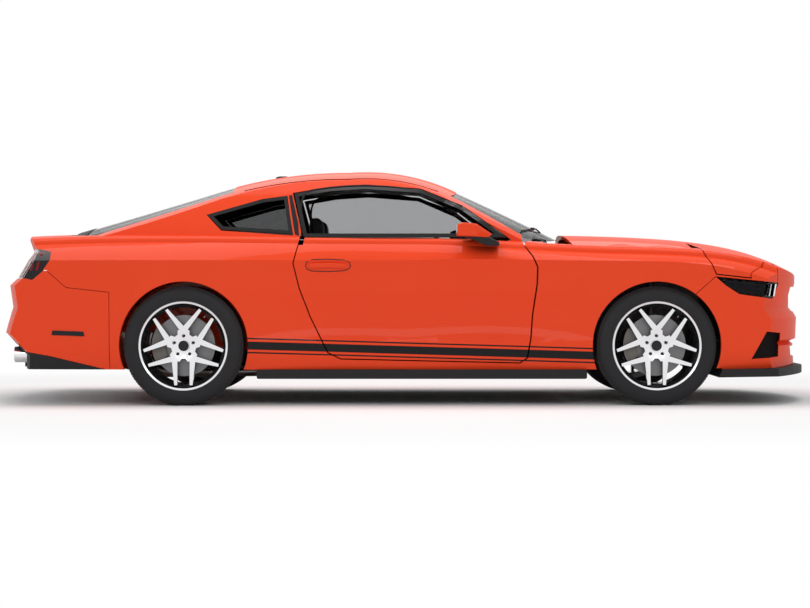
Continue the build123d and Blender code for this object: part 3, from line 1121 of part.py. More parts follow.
def rim():
    """A five-armed rim whose arms each split in two before the barrel."""
    half = RIM_WIDTH / 2
    barrel_points = [(BARREL_RADIUS, -half), (RIM_RADIUS, -half), (RIM_RADIUS, -half + SHEET),
                     (RIM_SEAT_RADIUS, -half + SHEET), (RIM_SEAT_RADIUS - SHEET / 2, -half + 3 * SHEET),
                     (BARREL_RADIUS + BARREL_WALL, -half + 5 * SHEET), (BARREL_RADIUS + BARREL_WALL, half - 4 * SHEET),
                     (RIM_SEAT_RADIUS, half - 2 * SHEET), (RIM_SEAT_RADIUS, half - SHEET), (RIM_RADIUS, half - SHEET),
                     (RIM_RADIUS, half - SHEET / 3), (RIM_RADIUS - SHEET / 2, half),
                     (RIM_SEAT_RADIUS, half - SHEET / 2), (RIM_SEAT_RADIUS - BARREL_WALL, half - 3 * SHEET),
                     (BARREL_RADIUS, half - 5 * SHEET)]
    barrel = revolve(Plane.XZ * side_face(barrel_points), axis=Axis.Z)
    face_z = half - SPOKE_INSET
    dish = [(0, face_z - SPOKE_DISH - SPOKE_DEPTH), (BARREL_RADIUS + BARREL_WALL, face_z - SPOKE_DEPTH - SHEET),
            (RIM_SEAT_RADIUS - BARREL_WALL / 2, face_z - SHEET), (RIM_SEAT_RADIUS - BARREL_WALL / 2, face_z),
            (HUB_RADIUS, face_z - SPOKE_DISH / 2), (HUB_CAP_RADIUS + SHEET, face_z - SPOKE_DISH), (0, face_z - SPOKE_DISH)]
    slab = revolve(Plane.XZ * side_face(dish), axis=Axis.Z)
    pattern = extrude(Circle(HUB_RADIUS * SPOKE_HUB_SHARE), amount=WIDTH, both=True)
    for number in range(SPOKE_COUNT):
        turn = SPOKE_FIRST_ANGLE + number * 360 / SPOKE_COUNT
        arm = make_face(Polyline((0, -SPOKE_ROOT_WIDTH), (SPOKE_SPLIT_SHARE * RIM_RADIUS, -SPOKE_ROOT_WIDTH),
                                 (SPOKE_SPLIT_SHARE * RIM_RADIUS + SHEET, 0),
                                 (SPOKE_SPLIT_SHARE * RIM_RADIUS, SPOKE_ROOT_WIDTH), (0, SPOKE_ROOT_WIDTH), close=True))
        for angle in (-SPOKE_HALF_ANGLE, SPOKE_HALF_ANGLE):
            arm += make_face(Polyline(*spoke_outline(angle), close=True))
        pattern += extrude(Rot(0, 0, turn) * arm, amount=WIDTH, both=True)
    wheel = barrel + (slab & pattern)
    wheel += Pos(0, 0, face_z - SPOKE_DISH) * Cylinder(HUB_CAP_RADIUS, 2 * HUB_CAP_RISE)
    for number in range(SPOKE_COUNT):
        turn = SPOKE_FIRST_ANGLE + number * 360 / SPOKE_COUNT
        hole = Pos(LUG_CIRCLE / 2, 0, face_z - SPOKE_DISH) * Cylinder(LUG_POCKET_RADIUS, 2 * LUG_POCKET_DEPTH)
        wheel -= Rot(0, 0, turn) * hole
    hub_back = half - SPOKE_INSET - SPOKE_DISH - SPOKE_DEPTH
    hub = extrude(Plane.XY.offset(DISC_INSET + DISC_THICKNESS / 2 + SEAT) * Circle(DISC_HAT_RADIUS * 2 / 3),
                  amount=hub_back - DISC_INSET - DISC_THICKNESS / 2 + SHEET)
    return wheel + hub


def brake_disc():
    """A brake disc on its hat, with a bore for the axle stub."""
    disc = Pos(0, 0, DISC_INSET) * Cylinder(DISC_RADIUS, DISC_THICKNESS)
    return disc - Pos(0, 0, DISC_INSET) * Cylinder(AXLE_BORE_RADIUS, 2 * DISC_THICKNESS)


def caliper():
    """A brake caliper over the rearward edge of the disc, in the wheel's frame."""
    outer = Pos(0, 0, DISC_INSET) * Cylinder(DISC_RADIUS + SHEET, DISC_THICKNESS + 4 * SHEET)
    outer -= Pos(0, 0, DISC_INSET) * Cylinder(DISC_RADIUS * CALIPER_REACH_SHARE, 2 * WIDTH)
    outer -= Pos(0, 0, DISC_INSET) * Cylinder(DISC_RADIUS + SEAT + CALIPER_GAP, DISC_THICKNESS + 2 * CALIPER_GAP)
    half = math.radians(CALIPER_HALF_ANGLE)
    reach = 2 * DISC_RADIUS
    wedge = make_face(Polyline((0, 0), (reach * math.cos(half), reach * math.sin(half)),
                               (reach * math.cos(half), -reach * math.sin(half)), close=True))
    return outer & extrude(wedge, amount=WIDTH, both=True)


def knuckle(axle_inner):
    """An upright with its stub axle and the caliper, in the wheel's frame."""
    upright = Pos(0, 0, DISC_INSET - DISC_THICKNESS / 2 - CALIPER_GAP - KNUCKLE_DEPTH / 2) * Cylinder(
        KNUCKLE_RADIUS, KNUCKLE_DEPTH)
    stub = extrude(Plane.XY.offset(axle_inner) * Circle(AXLE_RADIUS),
                   amount=DISC_INSET + DISC_THICKNESS / 2 - axle_inner)
    return upright + stub


def front_knuckle(side):
    """A steered knuckle: upright, arms to the ball joints, axle stub and caliper."""
    frame = wheel_frame(FRONT_AXLE_X, FRONT_TRACK, side)
    base_z = DISC_INSET - DISC_THICKNESS / 2 - CALIPER_GAP - KNUCKLE_DEPTH
    piece = frame * knuckle(base_z)
    y_face = side * (FRONT_TRACK / 2 + base_z)
    y_axis = side * KINGPIN_Y
    low, high = sorted((y_face + side * KNUCKLE_DEPTH / 2, y_axis - side * KNUCKLE_DEPTH / 3))
    for level in (-1, 1):
        z = TYRE_RADIUS + level * KINGPIN_REACH
        piece += block(FRONT_AXLE_X - KNUCKLE_ARM / 2, FRONT_AXLE_X + KNUCKLE_ARM / 2, low, high,
                       z - SHEET, z + SHEET)
        piece += block(FRONT_AXLE_X - KNUCKLE_ARM / 2, FRONT_AXLE_X + KNUCKLE_ARM / 2,
                       min(y_face, y_face + side * KNUCKLE_DEPTH), max(y_face, y_face + side * KNUCKLE_DEPTH),
                       min(z, TYRE_RADIUS), max(z, TYRE_RADIUS))
        piece -= z_rod(FRONT_AXLE_X, y_axis, BALL_PIN_RADIUS + SEAT, z - 2 * SHEET, z + 2 * SHEET)
    turned = frame * Rot(0, 0, 90 + side * 90) * caliper()
    bridge = frame * Rot(0, 0, 90 + side * 90) * (Pos(DISC_RADIUS / 2, 0, base_z + KNUCKLE_DEPTH / 2) * Box(
        DISC_RADIUS, KNUCKLE_ARM / 2, KNUCKLE_DEPTH / 2))
    return piece + turned + bridge


def front_subframe():
    """Crossmember, lower arms, struts with their springs' seats and ball pins."""
    beam = block(FRONT_AXLE_X - BEAM_HALF, FRONT_AXLE_X + BEAM_HALF, -RAIL_Y, RAIL_Y, RAIL_Z - 2 * SHEET, RAIL_Z - SEAT)
    low_z = TYRE_RADIUS - KINGPIN_REACH - SHEET - SEAT
    arm_plan = [(FRONT_AXLE_X - KNUCKLE_ARM / 3, KINGPIN_Y), (FRONT_AXLE_X + KNUCKLE_ARM / 3, KINGPIN_Y),
                (FRONT_AXLE_X + BEAM_HALF, RAIL_Y - PANEL), (FRONT_AXLE_X - BEAM_HALF, RAIL_Y - PANEL)]
    arm = top_solid(arm_plan, low_z - SHEET, low_z)
    arm += z_rod(FRONT_AXLE_X, KINGPIN_Y, BALL_PIN_RADIUS * 2, low_z - SHEET, low_z)
    arm += z_rod(FRONT_AXLE_X, KINGPIN_Y, BALL_PIN_RADIUS, low_z - SHEET, low_z + 2 * SHEET)
    arm += block(FRONT_AXLE_X - BEAM_HALF, FRONT_AXLE_X + BEAM_HALF, RAIL_Y - 2 * PANEL, RAIL_Y - PANEL,
                 low_z - SHEET, RAIL_Z - SHEET)
    high_z = TYRE_RADIUS + KINGPIN_REACH + SHEET + SEAT
    strut = z_rod(FRONT_AXLE_X, STRUT_Y, STRUT_RADIUS, high_z, APRON_TOP_Z - SHEET)
    strut += z_rod(FRONT_AXLE_X, STRUT_Y, TOWER_RADIUS - SHEET - SEAT, APRON_TOP_Z - 2 * SHEET, APRON_TOP_Z)
    strut += block(FRONT_AXLE_X - STRUT_RADIUS, FRONT_AXLE_X + STRUT_RADIUS, STRUT_Y, KINGPIN_Y, high_z, high_z + SHEET)
    strut += z_rod(FRONT_AXLE_X, KINGPIN_Y, BALL_PIN_RADIUS, high_z - 2 * SHEET, high_z + SHEET)
    return beam + both_sides(arm + strut)


def rear_subframe():
    """Rear crossmember, final drive, half shafts, uprights and calipers."""
    beam = block(REAR_AXLE_X - BEAM_HALF, REAR_AXLE_X + BEAM_HALF, -REAR_BEAM_Y, REAR_BEAM_Y,
                 TRUNK_FLOOR_Z - FLOOR_SHEET - 3 * SHEET, TRUNK_FLOOR_Z - FLOOR_SHEET - SEAT)
    drive = block(REAR_AXLE_X - DRIVE_HALF, REAR_AXLE_X + DRIVE_HALF, -DRIVE_HALF, DRIVE_HALF,
                  TYRE_RADIUS - DRIVE_HALF, TRUNK_FLOOR_Z - FLOOR_SHEET - 2 * SHEET)
    pieces = beam + drive
    base_z = DISC_INSET - DISC_THICKNESS / 2 - CALIPER_GAP - KNUCKLE_DEPTH
    for side in (-1, 1):
        frame = wheel_frame(REAR_AXLE_X, REAR_TRACK, side)
        inner_y = side * DRIVE_HALF / 2
        outer_y = side * (REAR_TRACK / 2 + base_z + SHEET)
        pieces += frame * knuckle(base_z)
        pieces += y_rod(REAR_AXLE_X, TYRE_RADIUS, SHAFT_RADIUS, inner_y, outer_y)
        for offset in (-1, 1):
            x = REAR_AXLE_X + offset * KNUCKLE_ARM / 2
            pieces += rod_between((x, side * (REAR_BEAM_Y - PANEL), TRUNK_FLOOR_Z - FLOOR_SHEET - 2 * SHEET),
                                  (x, outer_y + side * SHEET, TYRE_RADIUS + offset * KNUCKLE_ARM / 2), SHEET)
        turned = frame * Rot(0, 0, 90 + side * 90) * caliper()
        bridge = frame * Rot(0, 0, 90 + side * 90) * (Pos(DISC_RADIUS / 2, 0, base_z + KNUCKLE_DEPTH / 2) * Box(
            DISC_RADIUS, KNUCKLE_ARM / 2, KNUCKLE_DEPTH / 2))
        pieces += turned + bridge
    return pieces


def muffler_block(slack=0):
    """The outline block of the left muffler, grown by a clearance."""
    half, height = MUFFLER_HALF + slack, MUFFLER_HALF / 2 + slack
    box = block(MUFFLER_X - MUFFLER_LENGTH / 2 - slack, MUFFLER_X + MUFFLER_LENGTH / 2 + slack,
                TIP_Y - half, TIP_Y + half, TIP_Z - height, TIP_Z + height)
    return fillet(box.edges().filter_by(Axis.X), MUFFLER_HALF / 3)


def exhaust_pipes():
    """Two pipes from the engine through the tunnel to the mufflers."""
    route = [(ENGINE_REAR_X, PIPE_Y, PIPE_Z), (CABIN_REAR_X + 6 * TUNNEL_HALF_WIDTH, PIPE_Y, PIPE_Z),
             (CABIN_REAR_X + 4 * TUNNEL_HALF_WIDTH, PIPE_Y, PIPE_LOW_Z),
             (CABIN_REAR_X, TIP_Y / 2, PIPE_LOW_Z), (REAR_AXLE_X - 2 * DRIVE_HALF, TIP_Y / 2, PIPE_LOW_Z),
             (MUFFLER_X + MUFFLER_LENGTH / 2, TIP_Y, TIP_Z)]
    side = Part()
    for start, end in zip(route, route[1:]):
        side += rod_between(start, end, PIPE_RADIUS)
    for corner in route[1:-1]:
        side += Pos(*corner) * Sphere(PIPE_RADIUS)
    return both_sides(side - muffler_block(SEAT))


def exhaust_tips():
    """Twin tips with blind bores behind each muffler."""
    front = MUFFLER_X - MUFFLER_LENGTH / 2 - SEAT
    tips = []
    for offset in (-1, 1):
        y = TIP_Y + offset * (TIP_RADIUS + SHEET / 2)
        tip = Pos((TIP_X + front) / 2, y, TIP_Z) * Rot(0, 90, 0) * Cylinder(TIP_RADIUS, front - TIP_X)
        tips.append(tip - Pos(TIP_X, y, TIP_Z) * Rot(0, 90, 0) * Cylinder(TIP_RADIUS - SHEET / 4, MUFFLER_LENGTH / 2))
    return both_sides(Part() + tips)


def wheel_nodes(x, track, side):
    """Tyre, rim and disc of one wheel, in place."""
    frame = wheel_frame(x, track, side)
    return {"tyre": frame * tyre(), "rim": frame * rim(), "disc": frame * brake_disc()}


def build_nodes():
    """Every piece of the car by its node name."""
    forms = Forms()
    left_door, left_glass, left_mirror = door_shell(forms), door_glass(forms), mirror_left(forms)
    nodes = {
        **body_panels(forms),
        "bay_frame": bay_frame(forms),
        "floor_pan": floor_pan(forms),
        "front_fenders": front_fenders(forms),
        "front_bumper": front_bumper(forms),
        "front_splitter": front_splitter(forms),
        "grilles": grilles(forms),
        "headlamps": headlamps(forms),
        "hood": hood(forms),
        "cowl_panel": cowl_panel(),
        "windshield": windshield(forms),
        "quarter_glasses": quarter_glasses(forms),
        "rear_window": rear_window(forms),
        "deck_lid": deck_lid(forms),
        "tail_lamps": tail_lamps(forms),
        "rear_bumper": rear_bumper(forms),
        "rear_valance": rear_valance(forms),
        "side_skirts": side_skirts(forms),
        "engine_block": engine_block(),
        "front_subframe": front_subframe(),
        "rear_subframe": rear_subframe(),
        "exhaust_pipes": exhaust_pipes(),
        "mufflers": both_sides(muffler_block()),
        "exhaust_tips": exhaust_tips(),
        "dashboard": dashboard(forms),
        "front_seats": front_seats(),
        "rear_seat": rear_seat(),
        "steering_wheel": steering_wheel(),
        "door_left": left_door,
        "door_right": mirror(left_door, about=Plane.XZ),
        "door_glass_left": left_glass,
        "door_glass_right": mirror(left_glass, about=Plane.XZ),
        "mirror_left": left_mirror,
        "mirror_right": mirror(left_mirror, about=Plane.XZ),
        "knuckle_left": front_knuckle(1),
        "knuckle_right": front_knuckle(-1),
    }
    for place, x, track in (("front", FRONT_AXLE_X, FRONT_TRACK), ("rear", REAR_AXLE_X, REAR_TRACK)):
        for hand, side in (("left", 1), ("right", -1)):
            for kind, shape in wheel_nodes(x, track, side).items():
                nodes[f"{kind}_{place}_{hand}"] = shape
    return nodes


def main():
    os.makedirs("parts", exist_ok=True)
    for name, shape in build_nodes().items():
        export_step(shape, f"parts/{name}.step")


main()
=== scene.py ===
"""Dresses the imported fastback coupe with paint, glass, lamps, wheels, trim and cabin."""
import json
import math

import bpy
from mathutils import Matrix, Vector


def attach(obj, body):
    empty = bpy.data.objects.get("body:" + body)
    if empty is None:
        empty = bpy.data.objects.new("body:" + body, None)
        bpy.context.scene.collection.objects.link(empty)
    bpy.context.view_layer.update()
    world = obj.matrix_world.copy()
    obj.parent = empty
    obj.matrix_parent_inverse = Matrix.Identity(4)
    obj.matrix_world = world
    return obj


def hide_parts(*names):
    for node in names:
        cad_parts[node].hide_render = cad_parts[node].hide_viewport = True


bl_info = {
    "name": "Fastback Muscle Car",
    "version": (1, 0, 0),
    "blender": (4, 5, 0),
    "location": "View3D > Sidebar > Fastback Car",
    "description": "Builds the visible pieces of a two-door fastback coupe around its packed frame",
    "category": "Object",
}

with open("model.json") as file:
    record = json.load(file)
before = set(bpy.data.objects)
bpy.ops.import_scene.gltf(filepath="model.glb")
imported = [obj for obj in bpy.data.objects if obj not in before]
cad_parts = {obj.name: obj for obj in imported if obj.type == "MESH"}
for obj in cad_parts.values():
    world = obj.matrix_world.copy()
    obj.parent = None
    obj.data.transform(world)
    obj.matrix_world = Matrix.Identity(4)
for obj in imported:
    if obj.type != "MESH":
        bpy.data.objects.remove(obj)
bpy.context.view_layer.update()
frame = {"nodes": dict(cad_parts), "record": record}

# Measures that the pieces share, in metres; the near side of the car is minus Y.
FRONT_AXLE_X = 1.4435
REAR_AXLE_X = -1.2765
AXLE_Z = 0.343
FRONT_WHEEL_Y = 0.791
REAR_WHEEL_Y = 0.824
TYRE_RADIUS = 0.343
PATCH_START = 1.35
SIDES = (("left", 1), ("right", -1))

# The photograph's camera, in metres, degrees and millimetres
CAMERA_PLACE = (-0.005, -13.3, 0.727)
CAMERA_DIP = 0.664
CAMERA_SENSOR = 36.0
CAMERA_LENS = 95.9

# Name, place, turn in degrees, width, depth and share of the softbox power
STUDIO_LAMPS = (
    ("lamp_over", (0.0, 0.0, 4.6), (0, 0, 0), 7.0, 2.6, 1.0),
    ("lamp_near", (0.0, -6.5, 3.6), (62, 0, 0), 8.0, 1.6, 0.55),
    ("lamp_far", (0.0, 6.5, 3.6), (-62, 0, 0), 8.0, 1.6, 0.35),
)

# The side stripes: a line that falls towards the nose, and the strips beside it
STRIPE_SLOPE = -0.0296
STRIPE_BASE = 0.3185
STRIPE_MIDDLE_X = 0.08
STRIPE_HALF_LENGTH = 1.02
STRIPE_INNER_Y = 0.80
PIN_GAP = 0.0175
PIN_HALF = 0.0042

# Name, place along the car and place across it
WHEELS = (("front_left", FRONT_AXLE_X, FRONT_WHEEL_Y), ("front_right", FRONT_AXLE_X, -FRONT_WHEEL_Y),
          ("rear_left", REAR_AXLE_X, REAR_WHEEL_Y), ("rear_right", REAR_AXLE_X, -REAR_WHEEL_Y))
BODY_OF = {node: body for body, nodes in frame["record"]["behaviour"]["bodies"].items() for node in nodes}


class CarLooks(bpy.types.PropertyGroup):
    """Colours and sizes of the car's finish."""
    paint: bpy.props.FloatVectorProperty(
        name="Paint", description="Colour of the body panels", subtype="COLOR", size=3,
        min=0.0, max=1.0, default=(0.81, 0.062, 0.016))
    stripe: bpy.props.FloatVectorProperty(
        name="Stripe", description="Colour of the side stripes", subtype="COLOR", size=3,
        min=0.0, max=1.0, default=(0.012, 0.012, 0.013))
    glass: bpy.props.FloatVectorProperty(
        name="Glass", description="Tint of the windows", subtype="COLOR", size=3,
        min=0.0, max=1.0, default=(0.57, 0.575, 0.58))
    stripe_height: bpy.props.FloatProperty(
        name="Stripe height", description="Height of the side band", subtype="DISTANCE", unit="LENGTH",
        min=0.01, max=0.1, default=0.046)
    tread_depth: bpy.props.FloatProperty(
        name="Tread depth", description="Depth of the grooves in the tyres", subtype="DISTANCE", unit="LENGTH",
        min=0.001, max=0.01, default=0.006)


class StudioLooks(bpy.types.PropertyGroup):
    """Light and backdrop of the photograph's studio."""
    backdrop: bpy.props.FloatProperty(
        name="Backdrop", description="Brightness of the floor and backdrop as seen by the camera",
        min=0.0, max=1.0, default=1.0)
    sky: bpy.props.FloatProperty(
        name="Sky", description="Strength of the even light from all sides", min=0.0, max=3.0, default=0.62)
    softbox: bpy.props.FloatProperty(
        name="Softbox", description="Power of the large lamp over the car in watts", min=0.0, max=5000.0,
        default=150.0)


def looks():
    """The colours and sizes that the user has set."""
    return bpy.context.scene.car_looks


def studio():
    """The light that the user has set."""
    return bpy.context.scene.studio_looks


# Mesh helpers

def deselect():
    """Leaves object mode with nothing selected."""
    if bpy.context.object and bpy.context.object.mode != "OBJECT":
        bpy.ops.object.mode_set(mode="OBJECT")
    bpy.ops.object.select_all(action="DESELECT")


def activate(piece):
    """Makes one object the only selected and active one."""
    deselect()
    piece.select_set(True)
    bpy.context.view_layer.objects.active = piece


def edit(piece, select="DESELECT"):
    """Opens a piece in edit mode."""
    activate(piece)
    bpy.ops.object.mode_set(mode="EDIT")
    bpy.ops.mesh.select_mode(type="FACE")
    bpy.ops.mesh.select_all(action=select)


def close():
    """Returns to object mode."""
    bpy.ops.object.mode_set(mode="OBJECT")


def select_faces(piece, test):
    """Selects the faces whose centre and normal pass a test, from edit mode and back to it."""
    bpy.ops.object.mode_set(mode="OBJECT")
    mesh = piece.data
    for vertex in mesh.vertices:
        vertex.select = False
    for edge in mesh.edges:
        edge.select = False
    count = 0
    for face in mesh.polygons:
        face.select = bool(test(face.center, face.normal))
        count += face.select
    bpy.ops.object.mode_set(mode="EDIT")
    bpy.ops.mesh.select_mode(type="FACE")
    return count


def add_modifier(piece, kind, **values):
    """Adds a modifier with the given values and applies it."""
    activate(piece)
    modifier = piece.modifiers.new(kind.title(), kind)
    for key, value in values.items():
        setattr(modifier, key, value)
    bpy.ops.object.modifier_apply(modifier=modifier.name)


def settle(piece):
    """Moves the object's place, turn and size into its mesh."""
    activate(piece)
    bpy.ops.object.transform_apply(location=True, rotation=True, scale=True)


def smooth(piece, degrees=32.0):
    """Shades a piece smooth, apart from edges sharper than the angle."""
    activate(piece)
    bpy.ops.object.shade_smooth_by_angle(angle=math.radians(degrees))


def material_of(piece, *materials):
    """Gives a piece its materials, in slot order."""
    piece.data.materials.clear()
    for material in materials:
        piece.data.materials.append(material)


def piece_done(piece, name, body, finish, degrees=32.0):
    """Names, shades, paints and mounts a finished piece."""
    settle(piece)
    piece.name = name
    piece.data.name = name
    smooth(piece, degrees)
    material_of(piece, FINISH[finish])
    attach(piece, body)
    return piece


def joined(pieces, name):
    """Joins several objects into one."""
    deselect()
    for piece in pieces:
        piece.select_set(True)
    bpy.context.view_layer.objects.active = pieces[0]
    bpy.ops.object.join()
    pieces[0].name = name
    return pieces[0]


def copied(piece, name):
    """A copy with its own mesh."""
    activate(piece)
    bpy.ops.object.duplicate()
    twin = bpy.context.object
    twin.name = name
    return twin


def node_copy(node, name):
    """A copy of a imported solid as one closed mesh."""
    twin = copied(frame["nodes"][node], name)
    edit(twin, "SELECT")
    bpy.ops.mesh.remove_doubles(threshold=2e-6)
    close()
    if twin.data.has_custom_normals:
        bpy.ops.mesh.customdata_custom_splitnormals_clear()
    return twin


def box_piece(name, low, high, bevel=0.0, segments=2):
    """A bevelled block between two corners."""
    deselect()
    centre = [(a + b) / 2 for a, b in zip(low, high)]
    bpy.ops.mesh.primitive_cube_add(size=1, location=centre, scale=[abs(b - a) for a, b in zip(low, high)])
    piece = bpy.context.object
    piece.name = name
    settle(piece)
    if bevel:
        add_modifier(piece, "BEVEL", width=bevel, segments=segments, limit_method="ANGLE")
    return piece


def rod_piece(name, start, end, radius, sides=24, end_radius=None, bevel=0.0):
    """A round rod or cone between two points."""
    deselect()
    start, end = Vector(start), Vector(end)
    turn = (end - start).to_track_quat("Z", "Y").to_euler()
    bpy.ops.mesh.primitive_cone_add(vertices=sides, radius1=radius,
                                    radius2=radius if end_radius is None else end_radius,
                                    depth=(end - start).length, location=(start + end) / 2, rotation=turn)
    piece = bpy.context.object
    piece.name = name
    settle(piece)
    if bevel:
        add_modifier(piece, "BEVEL", width=bevel, segments=2, limit_method="ANGLE", angle_limit=math.radians(40))
    return piece


def lathe_piece(name, profile, centre, axis_y, sides=64, closed=True):
    """A turned piece on an axis along Y, from (radius, distance outwards) points."""
    deselect()
    first_radius, first_out = profile[0]
    bpy.ops.mesh.primitive_circle_add(vertices=sides, radius=first_radius, fill_type="NOTHING",
                                      location=(0, 0, first_out))
    piece = bpy.context.object
    piece.name = name
    settle(piece)
    bpy.ops.object.mode_set(mode="EDIT")
    bpy.ops.mesh.select_mode(type="EDGE")
    bpy.ops.mesh.select_all(action="SELECT")
    radius, out = first_radius, first_out
    for next_radius, next_out in profile[1:]:
        bpy.ops.mesh.extrude_edges_move(TRANSFORM_OT_translate={"value": (0, 0, next_out - out)})
        factor = next_radius / radius
        bpy.ops.transform.resize(value=(factor, factor, 1), center_override=(0, 0, 0))
        radius, out = next_radius, next_out
    if closed:
        bpy.ops.mesh.select_all(action="SELECT")
        bpy.ops.mesh.remove_doubles(threshold=1e-6)
    bpy.ops.mesh.select_all(action="SELECT")
    bpy.ops.mesh.normals_make_consistent(inside=False)
    close()
    piece.rotation_euler = (-math.pi / 2 * axis_y, 0, 0)
    piece.location = centre
    settle(piece)
    return piece


def tube_piece(name, points, radius, body, finish):
    """A bent bar or pipe along points."""
    deselect()
    bpy.ops.curve.primitive_nurbs_path_add()
    path = bpy.context.object
    path.data.splines.clear()
    spline = path.data.splines.new("NURBS")
    spline.points.add(len(points) - 1)
    for point, place in zip(spline.points, points):
        point.co = (*place, 1.0)
    spline.order_u = 3
    spline.use_endpoint_u = True
    spline.resolution_u = 6
    path.data.dimensions = "3D"
    path.data.bevel_depth = radius
    path.data.bevel_resolution = 3
    path.data.use_fill_caps = True
    activate(path)
    bpy.ops.object.convert(target="MESH")
    return piece_done(bpy.context.object, name, body, finish, 50)


def prism_piece(name, outline, direction, low, high, bevel=0.0):
    """A flat outline raised between two planes; outline points are (x, z) for Y, (x, y) for Z and (y, z) for X."""
    deselect()
    bpy.ops.mesh.primitive_circle_add(vertices=len(outline), radius=0.1, fill_type="NGON")
    piece = bpy.context.object
    piece.name = name
    for vertex, (a, b) in zip(piece.data.vertices, outline):
        vertex.co = {"Y": (a, low, b), "Z": (a, b, low), "X": (low, a, b)}[direction]
    edit(piece, "SELECT")
    step = {"Y": (0, high - low, 0), "Z": (0, 0, high - low), "X": (high - low, 0, 0)}[direction]
    bpy.ops.mesh.extrude_region_move(TRANSFORM_OT_translate={"value": step})
    bpy.ops.mesh.select_all(action="SELECT")
    bpy.ops.mesh.normals_make_consistent(inside=False)
    close()
    if bevel:
        add_modifier(piece, "BEVEL", width=bevel, segments=2, limit_method="ANGLE")
    return piece


def profile_piece(name, outline, ends, bevel, body, finish, degrees=40):
    """A finished piece with one side outline between two places across the car."""
    low, high = sorted(ends)
    return piece_done(prism_piece(name, outline, "Y", low, high, bevel), name, body, finish, degrees)


def cut(piece, cutter, operation="DIFFERENCE"):
    """Cuts one piece with another and removes the cutter."""
    add_modifier(piece, "BOOLEAN", object=cutter, operation=operation, solver="EXACT")
    bpy.data.objects.remove(cutter)
    return piece


# Material helpers

class Nodes:
    """A material's node tree with short calls."""

    def __init__(self, name):
        self.material = bpy.data.materials.new(name)
        self.material.use_nodes = True
        self.tree = self.material.node_tree
        self.shader = self.tree.nodes["Principled BSDF"]
        self.output = self.tree.nodes["Material Output"]

    def add(self, kind, **values):
        node = self.tree.nodes.new(kind)
        for key, value in values.items():
            setattr(node, key, value)
        return node

    def link(self, source, target):
        self.tree.links.new(source, target)

    def place(self):
        return self.add("ShaderNodeTexCoord").outputs["Object"]

    def math(self, operation, first, second=None):
        return tree_math(self.tree, operation, first, second)

    def noise(self, scale, detail=None):
        return tree_noise(self.tree, scale, detail)

    def shaded(self, colour, shade):
        node = self.add("ShaderNodeHueSaturation")
        node.inputs["Color"].default_value = (*colour, 1.0)
        self.link(shade, node.inputs["Value"])
        return node.outputs[0]

    def mix(self, factor, first, second):
        node = self.add("ShaderNodeMix", data_type="RGBA")
        for name, value in (("Factor", factor), ("A", first), ("B", second)):
            socket = next(s for s in node.inputs if s.name == name and s.enabled)
            if isinstance(value, bpy.types.NodeSocket):
                self.link(value, socket)
            elif isinstance(value, (int, float)):
                socket.default_value = value
            else:
                socket.default_value = (*value[:3], 1.0)
        return next(s for s in node.outputs if s.enabled)

    def group(self, tree, **values):
        node = self.add("ShaderNodeGroup", node_tree=tree)
        for key, value in values.items():
            node.inputs[key.replace("_", " ")].default_value = value
        return node

    def bump(self, height, strength, distance):
        node = self.add("ShaderNodeBump")
        node.inputs["Strength"].default_value = strength
        node.inputs["Distance"].default_value = distance
        self.link(height, node.inputs["Height"])
        self.link(node.outputs[0], self.shader.inputs["Normal"])
        return node

    def set(self, **values):
        for key, value in values.items():
            socket = self.shader.inputs[key.replace("_", " ")]
            socket.default_value = value if isinstance(value, (int, float)) else (*value[:3], 1.0)
        return self


def effect_group(name, inputs, outputs):
    """An empty node group with named number inputs, at their defaults, and named outputs."""
    tree = bpy.data.node_groups.new(name, "ShaderNodeTree")
    for label, default in inputs.items():
        tree.interface.new_socket(name=label, in_out="INPUT", socket_type="NodeSocketFloat").default_value = default
    for label in outputs:
        tree.interface.new_socket(name=label, in_out="OUTPUT", socket_type="NodeSocketFloat")
    return tree, tree.nodes.new("NodeGroupInput"), tree.nodes.new("NodeGroupOutput")


def tree_math(tree, operation, first, second=None, clamp=False):
    """A Math node; each value is a number or a socket to link."""
    node = tree.nodes.new("ShaderNodeMath")
    node.operation = operation
    node.use_clamp = clamp
    for socket, value in zip(node.inputs, (first, second)):
        if value is None:
            continue
        if isinstance(value, (int, float)):
            socket.default_value = value
        else:
            tree.links.new(value, socket)
    return node.outputs[0]


def tree_noise(tree, scale, detail, kind="ShaderNodeTexNoise"):
    """A noise or cell texture over the object's own places; the scale is a number or a socket."""
    place = tree.nodes.new("ShaderNodeTexCoord")
    noise = tree.nodes.new(kind)
    if detail is not None:
        noise.inputs["Detail"].default_value = detail
    if isinstance(scale, (int, float)):
        noise.inputs["Scale"].default_value = scale
    else:
        tree.links.new(scale, noise.inputs["Scale"])
    tree.links.new(place.outputs["Object"], noise.inputs["Vector"])
    return noise.outputs[0]


def mottle_group():
    """Fine uneven colour and polish, as every moulded or painted surface has."""
    tree, start, end = effect_group("surface mottle", {"Scale": 12.0, "Amount": 0.1, "Base": 0.3},
                                    ("Shade", "Roughness"))
    noise = tree_noise(tree, start.outputs["Scale"], 4.0)
    swing = tree_math(tree, "MULTIPLY", tree_math(tree, "SUBTRACT", noise, 0.5), start.outputs["Amount"])
    tree.links.new(tree_math(tree, "ADD", swing, 1.0), end.inputs["Shade"])
    tree.links.new(tree_math(tree, "ADD", swing, start.outputs["Base"], clamp=True), end.inputs["Roughness"])
    return tree


def grain_group():
    """Small pebbled grain for moulded plastic, rubber and leather."""
    tree, start, end = effect_group("moulded grain", {"Scale": 900.0}, ("Height",))
    cells = tree_noise(tree, start.outputs["Scale"], None, "ShaderNodeTexVoronoi")
    noise = tree_noise(tree, start.outputs["Scale"], None)
    tree.links.new(tree_math(tree, "ADD", cells, noise), end.inputs["Height"])
    return tree


